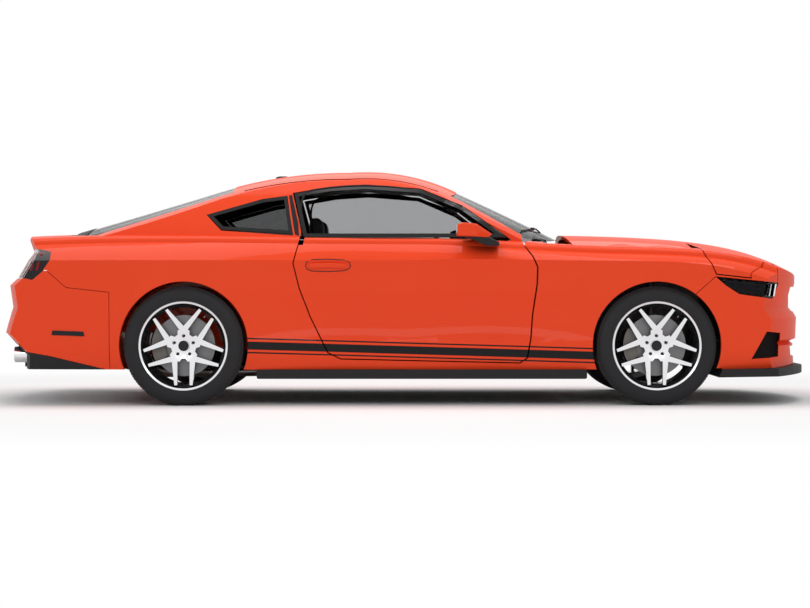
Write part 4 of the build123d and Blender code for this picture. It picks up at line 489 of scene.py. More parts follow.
def dust_group():
    """Light road dust that gathers low on the car."""
    tree, start, end = effect_group("road dust", {"Top": 0.4, "Amount": 0.2}, ("Mask",))
    place = tree.nodes.new("ShaderNodeTexCoord")
    apart = tree.nodes.new("ShaderNodeSeparateXYZ")
    tree.links.new(place.outputs["Object"], apart.inputs[0])
    below = tree_math(tree, "SUBTRACT", start.outputs["Top"], apart.outputs["Z"])
    fade = tree_math(tree, "DIVIDE", below, start.outputs["Top"], clamp=True)
    patchy = tree_math(tree, "MULTIPLY", fade, tree_noise(tree, 9.0, 6.0))
    tree.links.new(tree_math(tree, "MULTIPLY", patchy, start.outputs["Amount"], clamp=True), end.inputs["Mask"])
    return tree


# Materials are made once, in main, and kept here by name.
FINISH = {}


def paint_material(mottle, dust):
    """Gloss paint with the dark band and pinstripes between the wheel arches."""
    nodes = Nodes("body_paint")
    apart = nodes.add("ShaderNodeSeparateXYZ")
    nodes.link(nodes.place(), apart.inputs[0])
    along, across, up = apart.outputs
    line = nodes.math("ADD", nodes.math("MULTIPLY", along, STRIPE_SLOPE), STRIPE_BASE)
    rise = nodes.math("SUBTRACT", up, line)
    half = looks().stripe_height / 2
    band = nodes.math("LESS_THAN", nodes.math("ABSOLUTE", rise), half)
    pin_gap = nodes.math("SUBTRACT", nodes.math("ABSOLUTE", rise), half + PIN_GAP)
    pins = nodes.math("LESS_THAN", nodes.math("ABSOLUTE", pin_gap), PIN_HALF)
    either = nodes.math("MAXIMUM", band, pins)
    outside = nodes.math("GREATER_THAN", nodes.math("ABSOLUTE", across), STRIPE_INNER_Y)
    from_middle = nodes.math("ABSOLUTE", nodes.math("SUBTRACT", along, STRIPE_MIDDLE_X))
    between = nodes.math("LESS_THAN", from_middle, STRIPE_HALF_LENGTH)
    mask = nodes.math("MULTIPLY", either, nodes.math("MULTIPLY", outside, between))
    fine = nodes.group(mottle, Scale=2.2, Amount=0.05, Base=0.24)
    colour = nodes.mix(mask, nodes.shaded(looks().paint, fine.outputs["Shade"]), looks().stripe)
    grime = nodes.group(dust, Top=0.30, Amount=0.10)
    nodes.link(nodes.mix(grime.outputs["Mask"], colour, (0.30, 0.27, 0.24)), nodes.shader.inputs["Base Color"])
    nodes.link(nodes.math("ADD", nodes.math("MULTIPLY", grime.outputs["Mask"], 0.5), fine.outputs["Roughness"]),
               nodes.shader.inputs["Roughness"])
    nodes.set(Metallic=0.0, Specular_IOR_Level=0.0, Coat_Weight=0.25, Coat_Roughness=0.05, Coat_IOR=1.5)
    nodes.bump(nodes.noise(260.0), 0.02, 0.0006)
    return nodes.material


def plastic_material(name, colour, roughness, mottle, grain, scale=900.0, strength=0.25, coat=0.0):
    """Moulded plastic or rubber with a fine grain."""
    nodes = Nodes(name)
    fine = nodes.group(mottle, Scale=18.0, Amount=0.16, Base=roughness)
    nodes.link(nodes.shaded(colour, fine.outputs["Shade"]), nodes.shader.inputs["Base Color"])
    nodes.link(fine.outputs["Roughness"], nodes.shader.inputs["Roughness"])
    nodes.set(Coat_Weight=coat, Coat_Roughness=0.05, Specular_IOR_Level=0.15)
    pebbles = nodes.group(grain, Scale=scale)
    nodes.bump(pebbles.outputs["Height"], strength, 0.0004)
    return nodes.material


def metal_material(name, colour, roughness, mottle, dust=None, brushed=0.0, dusty=0.0):
    """Cast, brushed or plated metal."""
    nodes = Nodes(name)
    fine = nodes.group(mottle, Scale=30.0, Amount=0.22, Base=roughness)
    colour_out = nodes.shaded(colour, fine.outputs["Shade"])
    if dust is not None:
        grime = nodes.group(dust, Top=0.9, Amount=dusty)
        colour_out = nodes.mix(grime.outputs["Mask"], colour_out, (0.20, 0.17, 0.14))
    nodes.link(colour_out, nodes.shader.inputs["Base Color"])
    nodes.link(fine.outputs["Roughness"], nodes.shader.inputs["Roughness"])
    nodes.set(Metallic=1.0)
    if brushed:
        nodes.bump(nodes.noise(brushed, 3.0), 0.15, 0.0004)
    return nodes.material


def rim_material(mottle):
    """Machined faces that look outwards, gloss black everywhere else."""
    nodes = Nodes("rim_machined")
    apart = nodes.add("ShaderNodeSeparateXYZ")
    nodes.link(nodes.add("ShaderNodeTexCoord").outputs["Normal"], apart.inputs[0])
    place = nodes.add("ShaderNodeSeparateXYZ")
    nodes.link(nodes.place(), place.inputs[0])
    facing = nodes.math("GREATER_THAN", nodes.math("MULTIPLY", apart.outputs["Y"],
                                                   nodes.math("SIGN", place.outputs["Y"])), 0.80)
    axle_shift = nodes.math("MULTIPLY", nodes.math("SIGN", place.outputs["X"]), 0.0165)
    far_out = nodes.math("GREATER_THAN", nodes.math("ADD", nodes.math("ABSOLUTE", place.outputs["Y"]), axle_shift),
                         0.8715)
    face = nodes.math("MULTIPLY", facing, far_out)
    fine = nodes.group(mottle, Scale=60.0, Amount=0.10, Base=0.22)
    nodes.link(nodes.mix(face, (0.010, 0.010, 0.011), (0.78, 0.78, 0.80)), nodes.shader.inputs["Base Color"])
    nodes.link(face, nodes.shader.inputs["Metallic"])
    nodes.link(fine.outputs["Roughness"], nodes.shader.inputs["Roughness"])
    nodes.set(Coat_Weight=0.5, Coat_Roughness=0.05)
    nodes.bump(nodes.noise(300.0), 0.05, 0.0003)
    return nodes.material


def glass_material(name, colour, ior):
    """Tinted window glass or a smoked lamp cover."""
    nodes = Nodes(name)
    nodes.set(Base_Color=colour, Metallic=0.0, Transmission_Weight=1.0, IOR=ior, Roughness=0.0)
    nodes.bump(nodes.noise(3.0), 0.01, 0.0005)
    return nodes.material


def lens_material(name, colour, ribs):
    """A moulded lamp lens, solid behind, with fine ribs."""
    nodes = Nodes(name)
    nodes.set(Base_Color=colour, Roughness=0.10, Specular_IOR_Level=0.1, Coat_Weight=0.2, Coat_Roughness=0.03)
    nodes.bump(nodes.noise(ribs), 0.08, 0.0006)
    return nodes.material


def tyre_material(mottle, grain):
    """Black rubber with an uneven tone and a pebbled grain."""
    nodes = Nodes("tyre_rubber")
    fine = nodes.group(mottle, Scale=9.0, Amount=0.3, Base=0.62)
    nodes.link(nodes.shaded((0.022, 0.022, 0.024), fine.outputs["Shade"]), nodes.shader.inputs["Base Color"])
    nodes.link(fine.outputs["Roughness"], nodes.shader.inputs["Roughness"])
    nodes.set(Specular_IOR_Level=0.15, Sheen_Weight=0.03, Sheen_Roughness=0.5)
    pebbles = nodes.group(grain, Scale=500.0)
    nodes.bump(pebbles.outputs["Height"], 0.2, 0.0004)
    return nodes.material


def leather_material(mottle, grain):
    """Black seat leather with a pebbled grain."""
    return plastic_material("seat_leather", (0.018, 0.018, 0.020), 0.52, mottle, grain, scale=420.0, strength=0.5)


def make_finishes():
    """Builds every material."""
    mottle, grain, dust = mottle_group(), grain_group(), dust_group()
    look = looks()
    FINISH.update(
        paint=paint_material(mottle, dust),
        trim=plastic_material("trim_black", (0.016, 0.016, 0.017), 0.42, mottle, grain, strength=0.15),
        gloss_trim=plastic_material("trim_gloss_black", (0.010, 0.010, 0.011), 0.12, mottle, grain,
                                    scale=60.0, strength=0.02, coat=0.25),
        matte_trim=plastic_material("trim_grained", (0.022, 0.022, 0.023), 0.62, mottle, grain, strength=0.45),
        seal=plastic_material("seal_rubber", (0.012, 0.012, 0.012), 0.70, mottle, grain, scale=1200.0),
        glass=glass_material("window_glass", look.glass, ior=1.06),
        # The windshield, rear window and quarter windows get a tint darker than the door windows and weak reflections;
        # the extra darkness is painted shade, for the dark grey that these glasses show at their low angle.
        screen=glass_material("screen_glass", [0.48 * share for share in look.glass], ior=1.03),
        smoke=glass_material("lamp_smoke", (0.62, 0.62, 0.64), ior=1.08),
        red_lens=lens_material("lamp_red", (0.22, 0.004, 0.004), 60.0),
        dark_lens=lens_material("lamp_dark", (0.012, 0.012, 0.014), 30.0),
        mirror=metal_material("bright_mirror", (0.90, 0.90, 0.91), 0.04, mottle),
        chrome=metal_material("chrome", (0.82, 0.82, 0.83), 0.08, mottle),
        alloy=metal_material("alloy", (0.60, 0.60, 0.62), 0.30, mottle, dust, 240.0, 0.1),
        # The brake discs' dark grey is partly their cast iron and partly painted shade, for the shade they sit in
        # behind the spokes.
        disc=metal_material("brake_disc", (0.20, 0.20, 0.205), 0.42, mottle, dust, 420.0, 0.15),
        iron=metal_material("cast_iron", (0.15, 0.145, 0.14), 0.55, mottle, dust, 160.0, 0.5),
        exhaust=metal_material("exhaust_steel", (0.48, 0.46, 0.43), 0.34, mottle, dust, 90.0, 0.4),
        under=plastic_material("underbody", (0.045, 0.045, 0.047), 0.68, mottle, grain, scale=260.0, strength=0.5),
        caliper=plastic_material("caliper_dark", (0.020, 0.020, 0.021), 0.38, mottle, grain, strength=0.08),
        red_paint=plastic_material("caliper_red", (0.45, 0.02, 0.015), 0.35, mottle, grain, strength=0.05),
        rim=rim_material(mottle),
        tyre=tyre_material(mottle, grain),
        leather=leather_material(mottle, grain),
        cabin=plastic_material("cabin_plastic", (0.030, 0.030, 0.032), 0.58, mottle, grain, scale=600.0, strength=0.4),
        thread=plastic_material("seat_thread", (0.16, 0.16, 0.17), 0.7, mottle, grain, scale=1500.0),
    )


# Studio

def seen_rays(tree):
    """One for the rays that show the backdrop: camera, gloss and glass."""
    path = tree.nodes.new("ShaderNodeLightPath")
    through = tree_math(tree, "MAXIMUM", path.outputs["Is Glossy Ray"], path.outputs["Is Transmission Ray"])
    return tree_math(tree, "MAXIMUM", path.outputs["Is Camera Ray"], through)


def make_stage():
    """Adds floor, lamps, world and the photograph's camera."""
    deselect()
    bpy.ops.mesh.primitive_plane_add(size=90, location=(0, 0, 0))
    floor = bpy.context.object
    floor.name = "studio_floor"
    settle(floor)
    nodes = Nodes("studio_floor_seen")
    nodes.set(Base_Color=(0.90, 0.90, 0.90), Roughness=0.9, Specular_IOR_Level=0.0)
    white = nodes.add("ShaderNodeEmission")
    white.inputs["Color"].default_value = (1.0, 1.0, 1.0, 1.0)
    white.inputs["Strength"].default_value = studio().backdrop
    span = nodes.add("ShaderNodeVectorMath", operation="MULTIPLY")
    nodes.link(nodes.place(), span.inputs[0])
    span.inputs[1].default_value = (0.62, 1.0, 1.0)
    length = nodes.add("ShaderNodeVectorMath", operation="LENGTH")
    nodes.link(span.outputs[0], length.inputs[0])
    ramp = nodes.add("ShaderNodeMapRange", interpolation_type="SMOOTHSTEP")
    ramp.inputs["From Min"].default_value = 1.7
    ramp.inputs["From Max"].default_value = 4.5
    nodes.link(length.outputs["Value"], ramp.inputs["Value"])
    mixer = nodes.add("ShaderNodeMixShader")
    nodes.link(nodes.math("MULTIPLY", seen_rays(nodes.tree), ramp.outputs[0]), mixer.inputs[0])
    nodes.link(nodes.shader.outputs[0], mixer.inputs[1])
    nodes.link(white.outputs[0], mixer.inputs[2])
    nodes.link(mixer.outputs[0], nodes.output.inputs["Surface"])
    material_of(floor, nodes.material)

    world = bpy.data.worlds.new("studio_world")
    world.use_nodes = True
    bpy.context.scene.world = world
    tree = world.node_tree
    tree.nodes.clear()
    out = tree.nodes.new("ShaderNodeOutputWorld")
    mixer = tree.nodes.new("ShaderNodeMixShader")
    for number, strength in enumerate((studio().sky, studio().backdrop), 1):
        shade = tree.nodes.new("ShaderNodeBackground")
        shade.inputs["Color"].default_value = (1.0, 1.0, 1.0, 1.0)
        shade.inputs["Strength"].default_value = strength
        tree.links.new(shade.outputs[0], mixer.inputs[number])
    tree.links.new(seen_rays(tree), mixer.inputs[0])
    tree.links.new(mixer.outputs[0], out.inputs["Surface"])

    for name, place, turn, width, depth, share in STUDIO_LAMPS:
        deselect()
        bpy.ops.object.light_add(type="AREA", location=place, rotation=[math.radians(t) for t in turn])
        lamp = bpy.context.object
        lamp.name = name
        lamp.data.shape = "RECTANGLE"
        lamp.data.size = width
        lamp.data.size_y = depth
        lamp.data.energy = studio().softbox * share

    deselect()
    bpy.ops.object.camera_add(location=CAMERA_PLACE, rotation=(math.radians(90 - CAMERA_DIP), 0, 0))
    camera = bpy.context.object
    camera.name = "photo_camera"
    camera.data.sensor_width = CAMERA_SENSOR
    camera.data.lens = CAMERA_LENS
    bpy.context.scene.camera = camera
    bpy.context.scene.view_settings.view_transform = "Standard"


# Painted panels

PAINTED = ("body_shell", "roof_panel", "front_fenders", "front_bumper", "hood", "deck_lid", "rear_bumper",
           "door_left", "door_right", "mirror_left", "mirror_right")


CABIN_LINED = ("body_shell", "roof_panel", "door_left", "door_right")


def line_cabin(panel):
    """Gives the faces that look into the cabin a dark lining."""
    material_of(panel, FINISH["paint"], FINISH["cabin"])
    for face in panel.data.polygons:
        x, y, z = face.center
        inward = face.normal.y * y < -0.35 * abs(y) or face.normal.z < -0.6
        face.material_index = int(inward and -1.75 < x < 0.80 and abs(y) < 0.86 and z > 0.45)


def make_panels():
    """Copies of the painted solids with merged, smoothly shaded skins."""
    for node in PAINTED:
        panel = node_copy(node, f"{node}_painted")
        if node.startswith("mirror"):
            add_modifier(panel, "BEVEL", width=0.011, segments=3, limit_method="ANGLE", angle_limit=math.radians(20))
        piece_done(panel, f"{node}_painted", BODY_OF[node], "paint", 28)
        if node.startswith("mirror"):
            material_of(panel, FINISH["paint"], FINISH["gloss_trim"])
            for face in panel.data.polygons:
                face.material_index = int(face.center.z < 0.9655 or abs(face.center.y) < 0.9055)
        if node in CABIN_LINED:
            line_cabin(panel)
        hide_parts(node)


# Patches that lie on the car's skin

def skin_patch(name, outline, node, direction, lift, thick, start, ring=0.0, step=0.06):
    """A patch or ring of an outline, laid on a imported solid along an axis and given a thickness."""
    piece = prism_piece(name, outline, direction, start, start + 0.01)
    edit(piece)
    axis = "XYZ".index(direction)
    select_faces(piece, lambda centre, normal: abs(centre[axis] - start) > 1e-5)
    bpy.ops.mesh.delete(type="FACE")
    if ring:
        bpy.ops.mesh.select_all(action="SELECT")
        bpy.ops.mesh.select_mode(type="FACE")
        bpy.ops.mesh.inset(thickness=ring)
        bpy.ops.mesh.delete(type="FACE")
    for across in (i for i in range(3) if i != axis):
        places = [vertex[across] for vertex in outline_places(piece)]
        low, high = min(places), max(places)
        count = int((high - low) / step)
        for number in range(1, count + 1):
            centre, normal = [0.0, 0.0, 0.0], [0.0, 0.0, 0.0]
            centre[across] = low + (high - low) * number / (count + 1)
            normal[across] = 1.0
            bpy.ops.mesh.select_all(action="SELECT")
            bpy.ops.mesh.bisect(plane_co=centre, plane_no=normal)
    close()
    add_modifier(piece, "SHRINKWRAP", target=frame["nodes"][node], wrap_method="PROJECT",
                 use_project_x=axis == 0, use_project_y=axis == 1, use_project_z=axis == 2,
                 use_positive_direction=start < 0, use_negative_direction=start > 0, offset=lift)
    stray = max(abs(vertex.co[axis] - start) < 1e-4 for vertex in piece.data.vertices)
    if stray:
        raise RuntimeError(f"{name} misses {node}")
    edit(piece, "SELECT")
    bpy.ops.mesh.normals_make_consistent(inside=False)
    close()
    facing = sum(face.normal[axis] for face in piece.data.polygons)
    if facing * start < 0:
        edit(piece, "SELECT")
        bpy.ops.mesh.flip_normals()
        close()
    add_modifier(piece, "SOLIDIFY", thickness=thick, offset=0.0 if lift == 0 else 1.0)
    return piece


def outline_places(piece):
    """The places of a piece's vertices, from edit mode and back to it."""
    bpy.ops.object.mode_set(mode="OBJECT")
    places = [vertex.co.copy() for vertex in piece.data.vertices]
    bpy.ops.object.mode_set(mode="EDIT")
    return places


def side_patches(name, outline, node, lift, thick, finish, ring=0.0, bevel=0.0):
    """The same patch on both sides of the car; a node name ending in an underline has one solid for each side."""
    for hand, side in SIDES:
        target = f"{node}{hand}" if node.endswith("_") else node
        piece = skin_patch(f"{name}_{hand}", outline, target, "Y", lift, thick, PATCH_START * side, ring)
        if bevel:
            add_modifier(piece, "BEVEL", width=bevel, segments=2, limit_method="ANGLE", angle_limit=math.radians(50))
        piece_done(piece, f"{name}_{hand}", BODY_OF[target], finish, 40)


# Side windows, seen from the side in metres: (x, z)
DOOR_WINDOW = ((-0.5900, 0.9680), (-0.6530, 1.2255), (-0.4480, 1.2610), (-0.2389, 1.2745), (0.0855, 1.2500),
               (0.3310, 1.1480), (0.5800, 0.9680))
QUARTER_WINDOW = ((-0.6560, 0.9860), (-0.6975, 1.2130), (-0.8390, 1.1940), (-1.1630, 1.1020), (-1.0740, 1.0130))
PILLAR_COVER = ((-0.6190, 0.9760), (-0.6250, 1.0500), (-0.6680, 1.2210), (-0.6860, 1.2150), (-0.6430, 0.9860))


def make_windows():
    """Black frames round the side windows and covers on the middle pillars."""
    side_patches("door_window_frame", DOOR_WINDOW, "door_glass_", 0.0, 0.007, "gloss_trim", ring=0.021)
    side_patches("quarter_window_frame", QUARTER_WINDOW, "quarter_glasses", 0.0, 0.007, "gloss_trim",
                 ring=0.020)
    for hand, side in SIDES:
        points = []
        for x, z in DOOR_WINDOW[:-1]:
            _, place, _, _ = frame["nodes"][f"door_glass_{hand}"].ray_cast((x, side * 2, z), (0, -side, 0))
            points.append((x, place.y, z + 0.004))
        tube_piece(f"door_window_seal_{hand}", points, 0.0065, f"door_{hand}", "seal")
    side_patches("pillar_cover", PILLAR_COVER, "body_shell", 0.0008, 0.0015, "gloss_trim")


# Small pieces on the sides, in metres: (x, z)
HANDLE_RECESS = ((-0.5780, 0.8040), (-0.5700, 0.8260), (-0.5400, 0.8400), (-0.4460, 0.8430), (-0.3550, 0.8380),
                 (-0.3240, 0.8250), (-0.3145, 0.8040), (-0.3240, 0.7850), (-0.3550, 0.7720), (-0.4460, 0.7670),
                 (-0.5400, 0.7700), (-0.5700, 0.7820))
HANDLE_STRAP = ((-0.5560, 0.8000), (-0.5500, 0.8150), (-0.4460, 0.8200), (-0.3450, 0.8140), (-0.3380, 0.8000),
                (-0.3450, 0.7930), (-0.4460, 0.7960), (-0.5500, 0.7920))
HANDLE_FEET = ((-0.5500, 0.7940, -0.5300, 0.8130), (-0.3640, 0.7940, -0.3450, 0.8130))
REAR_MARKER = ((-2.0300, 0.4310), (-1.8500, 0.4250), (-1.8450, 0.3980), (-2.0350, 0.4050))


def make_side_details():
    """Door handles and rear side markers."""
    side_patches("handle_recess", HANDLE_RECESS, "door_", 0.0004, 0.0008, "trim", ring=0.0045)
    for hand, side in SIDES:
        node = f"door_{hand}"
        feet = []
        for low_x, low_z, high_x, high_z in HANDLE_FEET:
            outline = ((low_x, low_z), (low_x, high_z), (high_x, high_z), (high_x, low_z))
            feet.append(skin_patch("foot", outline, node, "Y", 0.0, 0.030, PATCH_START * side))
        strap = skin_patch("strap", HANDLE_STRAP, node, "Y", 0.014, 0.009, PATCH_START * side, step=0.02)
        handle = joined([strap] + feet, f"door_handle_{hand}")
        add_modifier(handle, "BEVEL", width=0.0022, segments=3, limit_method="ANGLE", angle_limit=math.radians(50))
        piece_done(handle, f"door_handle_{hand}", BODY_OF[node], "paint", 40)
    side_patches("rear_marker", REAR_MARKER, "rear_bumper", 0.0008, 0.003, "dark_lens", bevel=0.0008)


# Lamps

# Projectors behind the headlamp covers: place on the left side, and radius
PROJECTORS = ((1.925, 0.885, 0.676, 0.030), (2.035, 0.860, 0.672, 0.024))


def lamp_slabs(node, shift, name):
    """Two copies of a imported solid, the second moved by a shift inwards on each side."""
    keep = node_copy(node, name)
    moved = node_copy(node, "moved")
    for vertex in moved.data.vertices:
        side = 1 if vertex.co.y > 0 else -1
        vertex.co += Vector((shift[0], shift[1] * side, shift[2]))
    return keep, moved


def make_lamps():
    """Head and tail lamps with clear covers, housings, projectors and bars."""
    cover, moved = lamp_slabs("headlamps", (-0.002, -0.004, -0.002), "headlamp_covers")
    cut(cover, moved)
    piece_done(cover, "headlamp_covers", "body", "smoke", 30)
    back, moved = lamp_slabs("headlamps", (-0.010, -0.022, -0.008), "headlamp_housings")
    cut(back, moved, "INTERSECT")
    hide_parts("headlamps")
    piece_done(back, "headlamp_housings", "body", "dark_lens", 30)
    for hand, side in SIDES:
        projectors = []
        for x, y, z, radius in PROJECTORS:
            profile = ((radius, -0.030), (radius, 0.004), (radius * 0.86, 0.006), (radius * 0.80, 0.0),
                       (radius * 0.80, -0.030))
            projectors.append(lathe_piece("ring", profile, (x, side * y, z), side, sides=40))
        for number in range(3):
            x = 2.062 + number * 0.027
            outline = ((x, 0.628), (x + 0.008, 0.628), (x + 0.020, 0.698), (x + 0.012, 0.698))
            projectors.append(prism_piece("fin", outline, "Y", *sorted((side * 0.800, side * 0.868))))
        bezel = joined(projectors, "bezel")
        piece_done(bezel, f"headlamp_bezel_{hand}", "body", "chrome", 40)
    bars = []
    for side in (-1, 1):
        for number in range(3):
            bar = node_copy("tail_lamps", f"bar_{number}_{side}")
            low = 0.640 + number * 0.088
            outline = ((side * low, 0.738), (side * (low + 0.010), 0.880), (side * (low + 0.058), 0.880),
                       (side * (low + 0.048), 0.738))
            cut(bar, prism_piece("cutter", outline, "X", -2.5, -1.9), "INTERSECT")
            bar.location.x = -0.0035
            settle(bar)
            bars.append(bar)
    bars = joined(bars, "tail_lamp_bars")
    piece_done(bars, "tail_lamp_bars", "body", "red_lens", 30)
    for hand, side in SIDES:
        fins = []
        for number in range(3):
            x = -2.125 - number * 0.034
            outline = ((x, 0.775), (x + 0.022, 0.868), (x + 0.036, 0.868), (x + 0.014, 0.775))
            fins.append(skin_patch("fin", outline, "tail_lamps", "Y", 0.0006, 0.0025, PATCH_START * side))
        piece_done(joined(fins, "fins"), f"tail_lamp_fins_{hand}", "body", "red_lens", 30)


# Mirrors, wipers, roof and tail

MIRROR_GLASS = ((0.930, 0.984), (0.930, 1.028), (0.960, 1.036), (1.050, 1.036), (1.072, 1.024), (1.072, 0.992),
                (1.055, 0.984))


def surface_height(node, x, y):
    """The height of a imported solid's top at a place."""
    shown = bpy.data.objects.get(f"{node}_painted") or frame["nodes"][node]
    hit, place, _, _ = shown.ray_cast((x, y, 2.0), (0, 0, -1))
    if not hit:
        raise RuntimeError(f"no surface of {node} at {x}, {y}")
    return place.z


def make_mirrors():
    """Mirror glasses in both caps."""
    for hand, side in SIDES:
        outline = [(side * y, z) for y, z in MIRROR_GLASS]
        glass = skin_patch("glass", outline, f"mirror_{hand}", "X", 0.0008, 0.0016, -0.5, step=0.2)
        piece_done(glass, f"mirror_glass_{hand}", BODY_OF[f"mirror_{hand}"], "mirror", 30)


# Wipers: side, place of the pivot across the car and place of the arm's tip
WIPERS = (("left", 0.47, 0.18), ("right", -0.05, -0.33))
WIPER_PIVOT_X = 0.878
BLADE_STEP = 0.115


def blade_x(y):
    """Where a resting blade lies along the car; the line bows back towards both sides."""
    return 0.790 - 0.35 * y ** 2


def make_wipers():
    """Two wiper arms with their blades on the windshield, and slats in the cowl."""
    for hand, pivot_y, tip_y in WIPERS:
        pivot = (WIPER_PIVOT_X, pivot_y, surface_height("cowl_panel", WIPER_PIVOT_X, pivot_y) + 0.006)
        tip = (blade_x(tip_y), tip_y, surface_height("windshield", blade_x(tip_y), tip_y) + 0.012)
        middle = [(a + b) / 2 for a, b in zip(pivot, tip)]
        middle[2] = tip[2] + 0.010
        tube_piece(f"wiper_arm_{hand}", [pivot, middle, tip], 0.0045, "body", "trim")
        places = [tip_y + number * BLADE_STEP for number in range(-2, 3)]
        blade = [(blade_x(y), y, surface_height("windshield", blade_x(y), y) + 0.006) for y in places]
        tube_piece(f"wiper_blade_{hand}", blade, 0.0038, "body", "seal")
        cap = rod_piece("cap", (WIPER_PIVOT_X, pivot_y, pivot[2] - 0.010), (WIPER_PIVOT_X, pivot_y, pivot[2] + 0.008),
                        0.013, sides=20, bevel=0.003)
        piece_done(cap, f"wiper_pivot_{hand}", "body", "trim", 40)
    slats = []
    for number in range(16):
        y = -0.50 + number * 0.0667
        height = surface_height("cowl_panel", 0.900, y)
        slats.append(box_piece("slat", (0.886, y - 0.018, height - 0.001), (0.914, y + 0.018, height + 0.0022), 0.0008))
    piece_done(joined(slats, "slats"), "cowl_slats", "body", "trim", 40)


TIP_END_X = -2.290


def make_exhaust_tips():
    """Bright tips, cut to the length that shows behind the bumper."""
    tips = node_copy("exhaust_tips", "exhaust_tips_bright")
    cut(tips, box_piece("cutter", (-2.50, -1.0, 0.0), (TIP_END_X, 1.0, 0.6)))
    piece_done(tips, "exhaust_tips_bright", "body", "chrome", 30)
    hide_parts("exhaust_tips")


def make_roof_details():
    """Roof strips and the low aerial."""
    for hand, side in SIDES:
        points = []
        for number in range(12):
            x = 0.190 - number * 0.104
            points.append((x, side * 0.5448, surface_height("roof_panel", x, side * 0.5440) + 0.0004))
        tube_piece(f"roof_strip_{hand}", points, 0.0036, "body", "seal")
    outline = [(x, surface_height("roof_panel", x, 0.0) + lift)
               for x, lift in ((-0.800, -0.003), (-0.800, 0.011), (-0.776, 0.014), (-0.735, 0.007), (-0.708, -0.003))]
    profile_piece("roof_aerial", outline, (-0.016, 0.016), 0.003, "body", "gloss_trim")


# Cabin

# Front seat from the side in metres, (x, z): name, outline, half width and how far it may swell
SEAT_SOFT = (
    ("cushion", ((-0.400, 0.350), (-0.400, 0.440), (-0.340, 0.452), (0.020, 0.478), (0.088, 0.462), (0.094, 0.390),
                 (0.020, 0.350)), 0.150, 0.008),
    ("back", ((-0.404, 0.452), (-0.322, 0.462), (-0.300, 0.560), (-0.360, 0.700), (-0.440, 0.900), (-0.484, 0.928),
              (-0.560, 0.915), (-0.540, 0.830), (-0.450, 0.600)), 0.150, 0.008),
    ("headrest", ((-0.560, 0.955), (-0.576, 1.085), (-0.520, 1.094), (-0.490, 1.060), (-0.494, 0.965)), 0.105,
     0.006),
)
# Name, outline, inner and outer distance from the seat's middle, and how far it may swell
BOLSTERS = (
    ("cushion_bolster", ((-0.400, 0.350), (-0.400, 0.455), (-0.300, 0.485), (0.030, 0.500), (0.092, 0.470),
                         (0.094, 0.350)), 0.152, 0.214, 0.004),
    ("back_bolster", ((-0.410, 0.470), (-0.290, 0.500), (-0.270, 0.600), (-0.330, 0.760), (-0.430, 0.900),
                      (-0.560, 0.900), (-0.545, 0.800), (-0.460, 0.590)), 0.152, 0.214, 0.004),
)
# The hard parts below and behind, with half width and bevel
SEAT_SHELLS = (
    ("base", ((-0.420, 0.320), (-0.400, 0.372), (0.070, 0.380), (0.085, 0.340), (0.040, 0.318)), 0.205, 0.012),
    ("back_panel", ((-0.430, 0.430), (-0.415, 0.440), (-0.470, 0.600), (-0.562, 0.830), (-0.578, 0.905),
                    (-0.592, 0.900), (-0.580, 0.820), (-0.485, 0.590)), 0.190, 0.006),
)
SEAT_SEAM = ((-0.380, 0.4585), (-0.200, 0.4740), (0.020, 0.4860), (0.078, 0.4710))
SEAT_Y = 0.370


def puffed(piece, cap, voxel):
    """A stuffed form: a skin that air pressure swells by no more than the cap."""
    activate(piece)
    piece.data.remesh_voxel_size = voxel
    bpy.ops.object.voxel_remesh()
    rest = [vertex.co.copy() for vertex in piece.data.vertices]
    cloth = piece.modifiers.new("Cloth", "CLOTH")
    cloth.settings.use_pressure = True
    cloth.settings.uniform_pressure_force = 4.0
    cloth.settings.effector_weights.gravity = 0.0
    cloth.settings.quality = 3
    for number in range(1, 13):
        bpy.context.scene.frame_set(number)
    bpy.ops.object.modifier_apply(modifier=cloth.name)
    for vertex, start in zip(piece.data.vertices, rest):
        step = vertex.co - start
        if step.length > cap:
            vertex.co = start + step * (cap / step.length)
    bpy.context.scene.frame_set(1)
    add_modifier(piece, "SMOOTH", factor=0.6, iterations=3)
    return piece


def pad_piece(name, outline, ends, cap, bevel=0.022, voxel=0.010):
    """A stuffed leather form with one side outline, on the car's body."""
    low, high = sorted(ends)
    pad = puffed(prism_piece(name, outline, "Y", low, high, bevel), cap, voxel)
    piece_done(pad, name, "body", "leather", 60)
    return pad


def make_front_seats():
    """Both front seats: stuffed middles, firm bolsters, seams, shells and headrest rods."""
    for hand, side in SIDES:
        for name, outline, half, cap in SEAT_SOFT:
            ends = (side * SEAT_Y - half, side * SEAT_Y + half)
            pad_piece(f"seat_{name}_{hand}", outline, ends, cap)
        for name, outline, low, high, cap in BOLSTERS:
            for edge, turn in (("inner", -1), ("outer", 1)):
                ends = (side * (SEAT_Y + turn * low), side * (SEAT_Y + turn * high))
                pad_piece(f"seat_{name}_{edge}_{hand}", outline, ends, cap, 0.020)
        middle = side * SEAT_Y
        for name, outline, half, bevel in SEAT_SHELLS:
            profile_piece(f"seat_{name}_{hand}", outline, (middle - half, middle + half), bevel, "body", "matte_trim")
        rods = [rod_piece("rod", (-0.527, middle + y, 0.900), (-0.534, middle + y, 0.985), 0.006, sides=14)
                for y in (-0.045, 0.045)]
        piece_done(joined(rods, "rods"), f"headrest_rods_{hand}", "body", "chrome", 40)
        for number, y in enumerate((-0.149, 0.149)):
            seam = [(x, middle + y, z) for x, z in SEAT_SEAM]
            tube_piece(f"seat_seam_{hand}_{number}", seam, 0.0022, "body", "thread")
    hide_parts("front_seats")


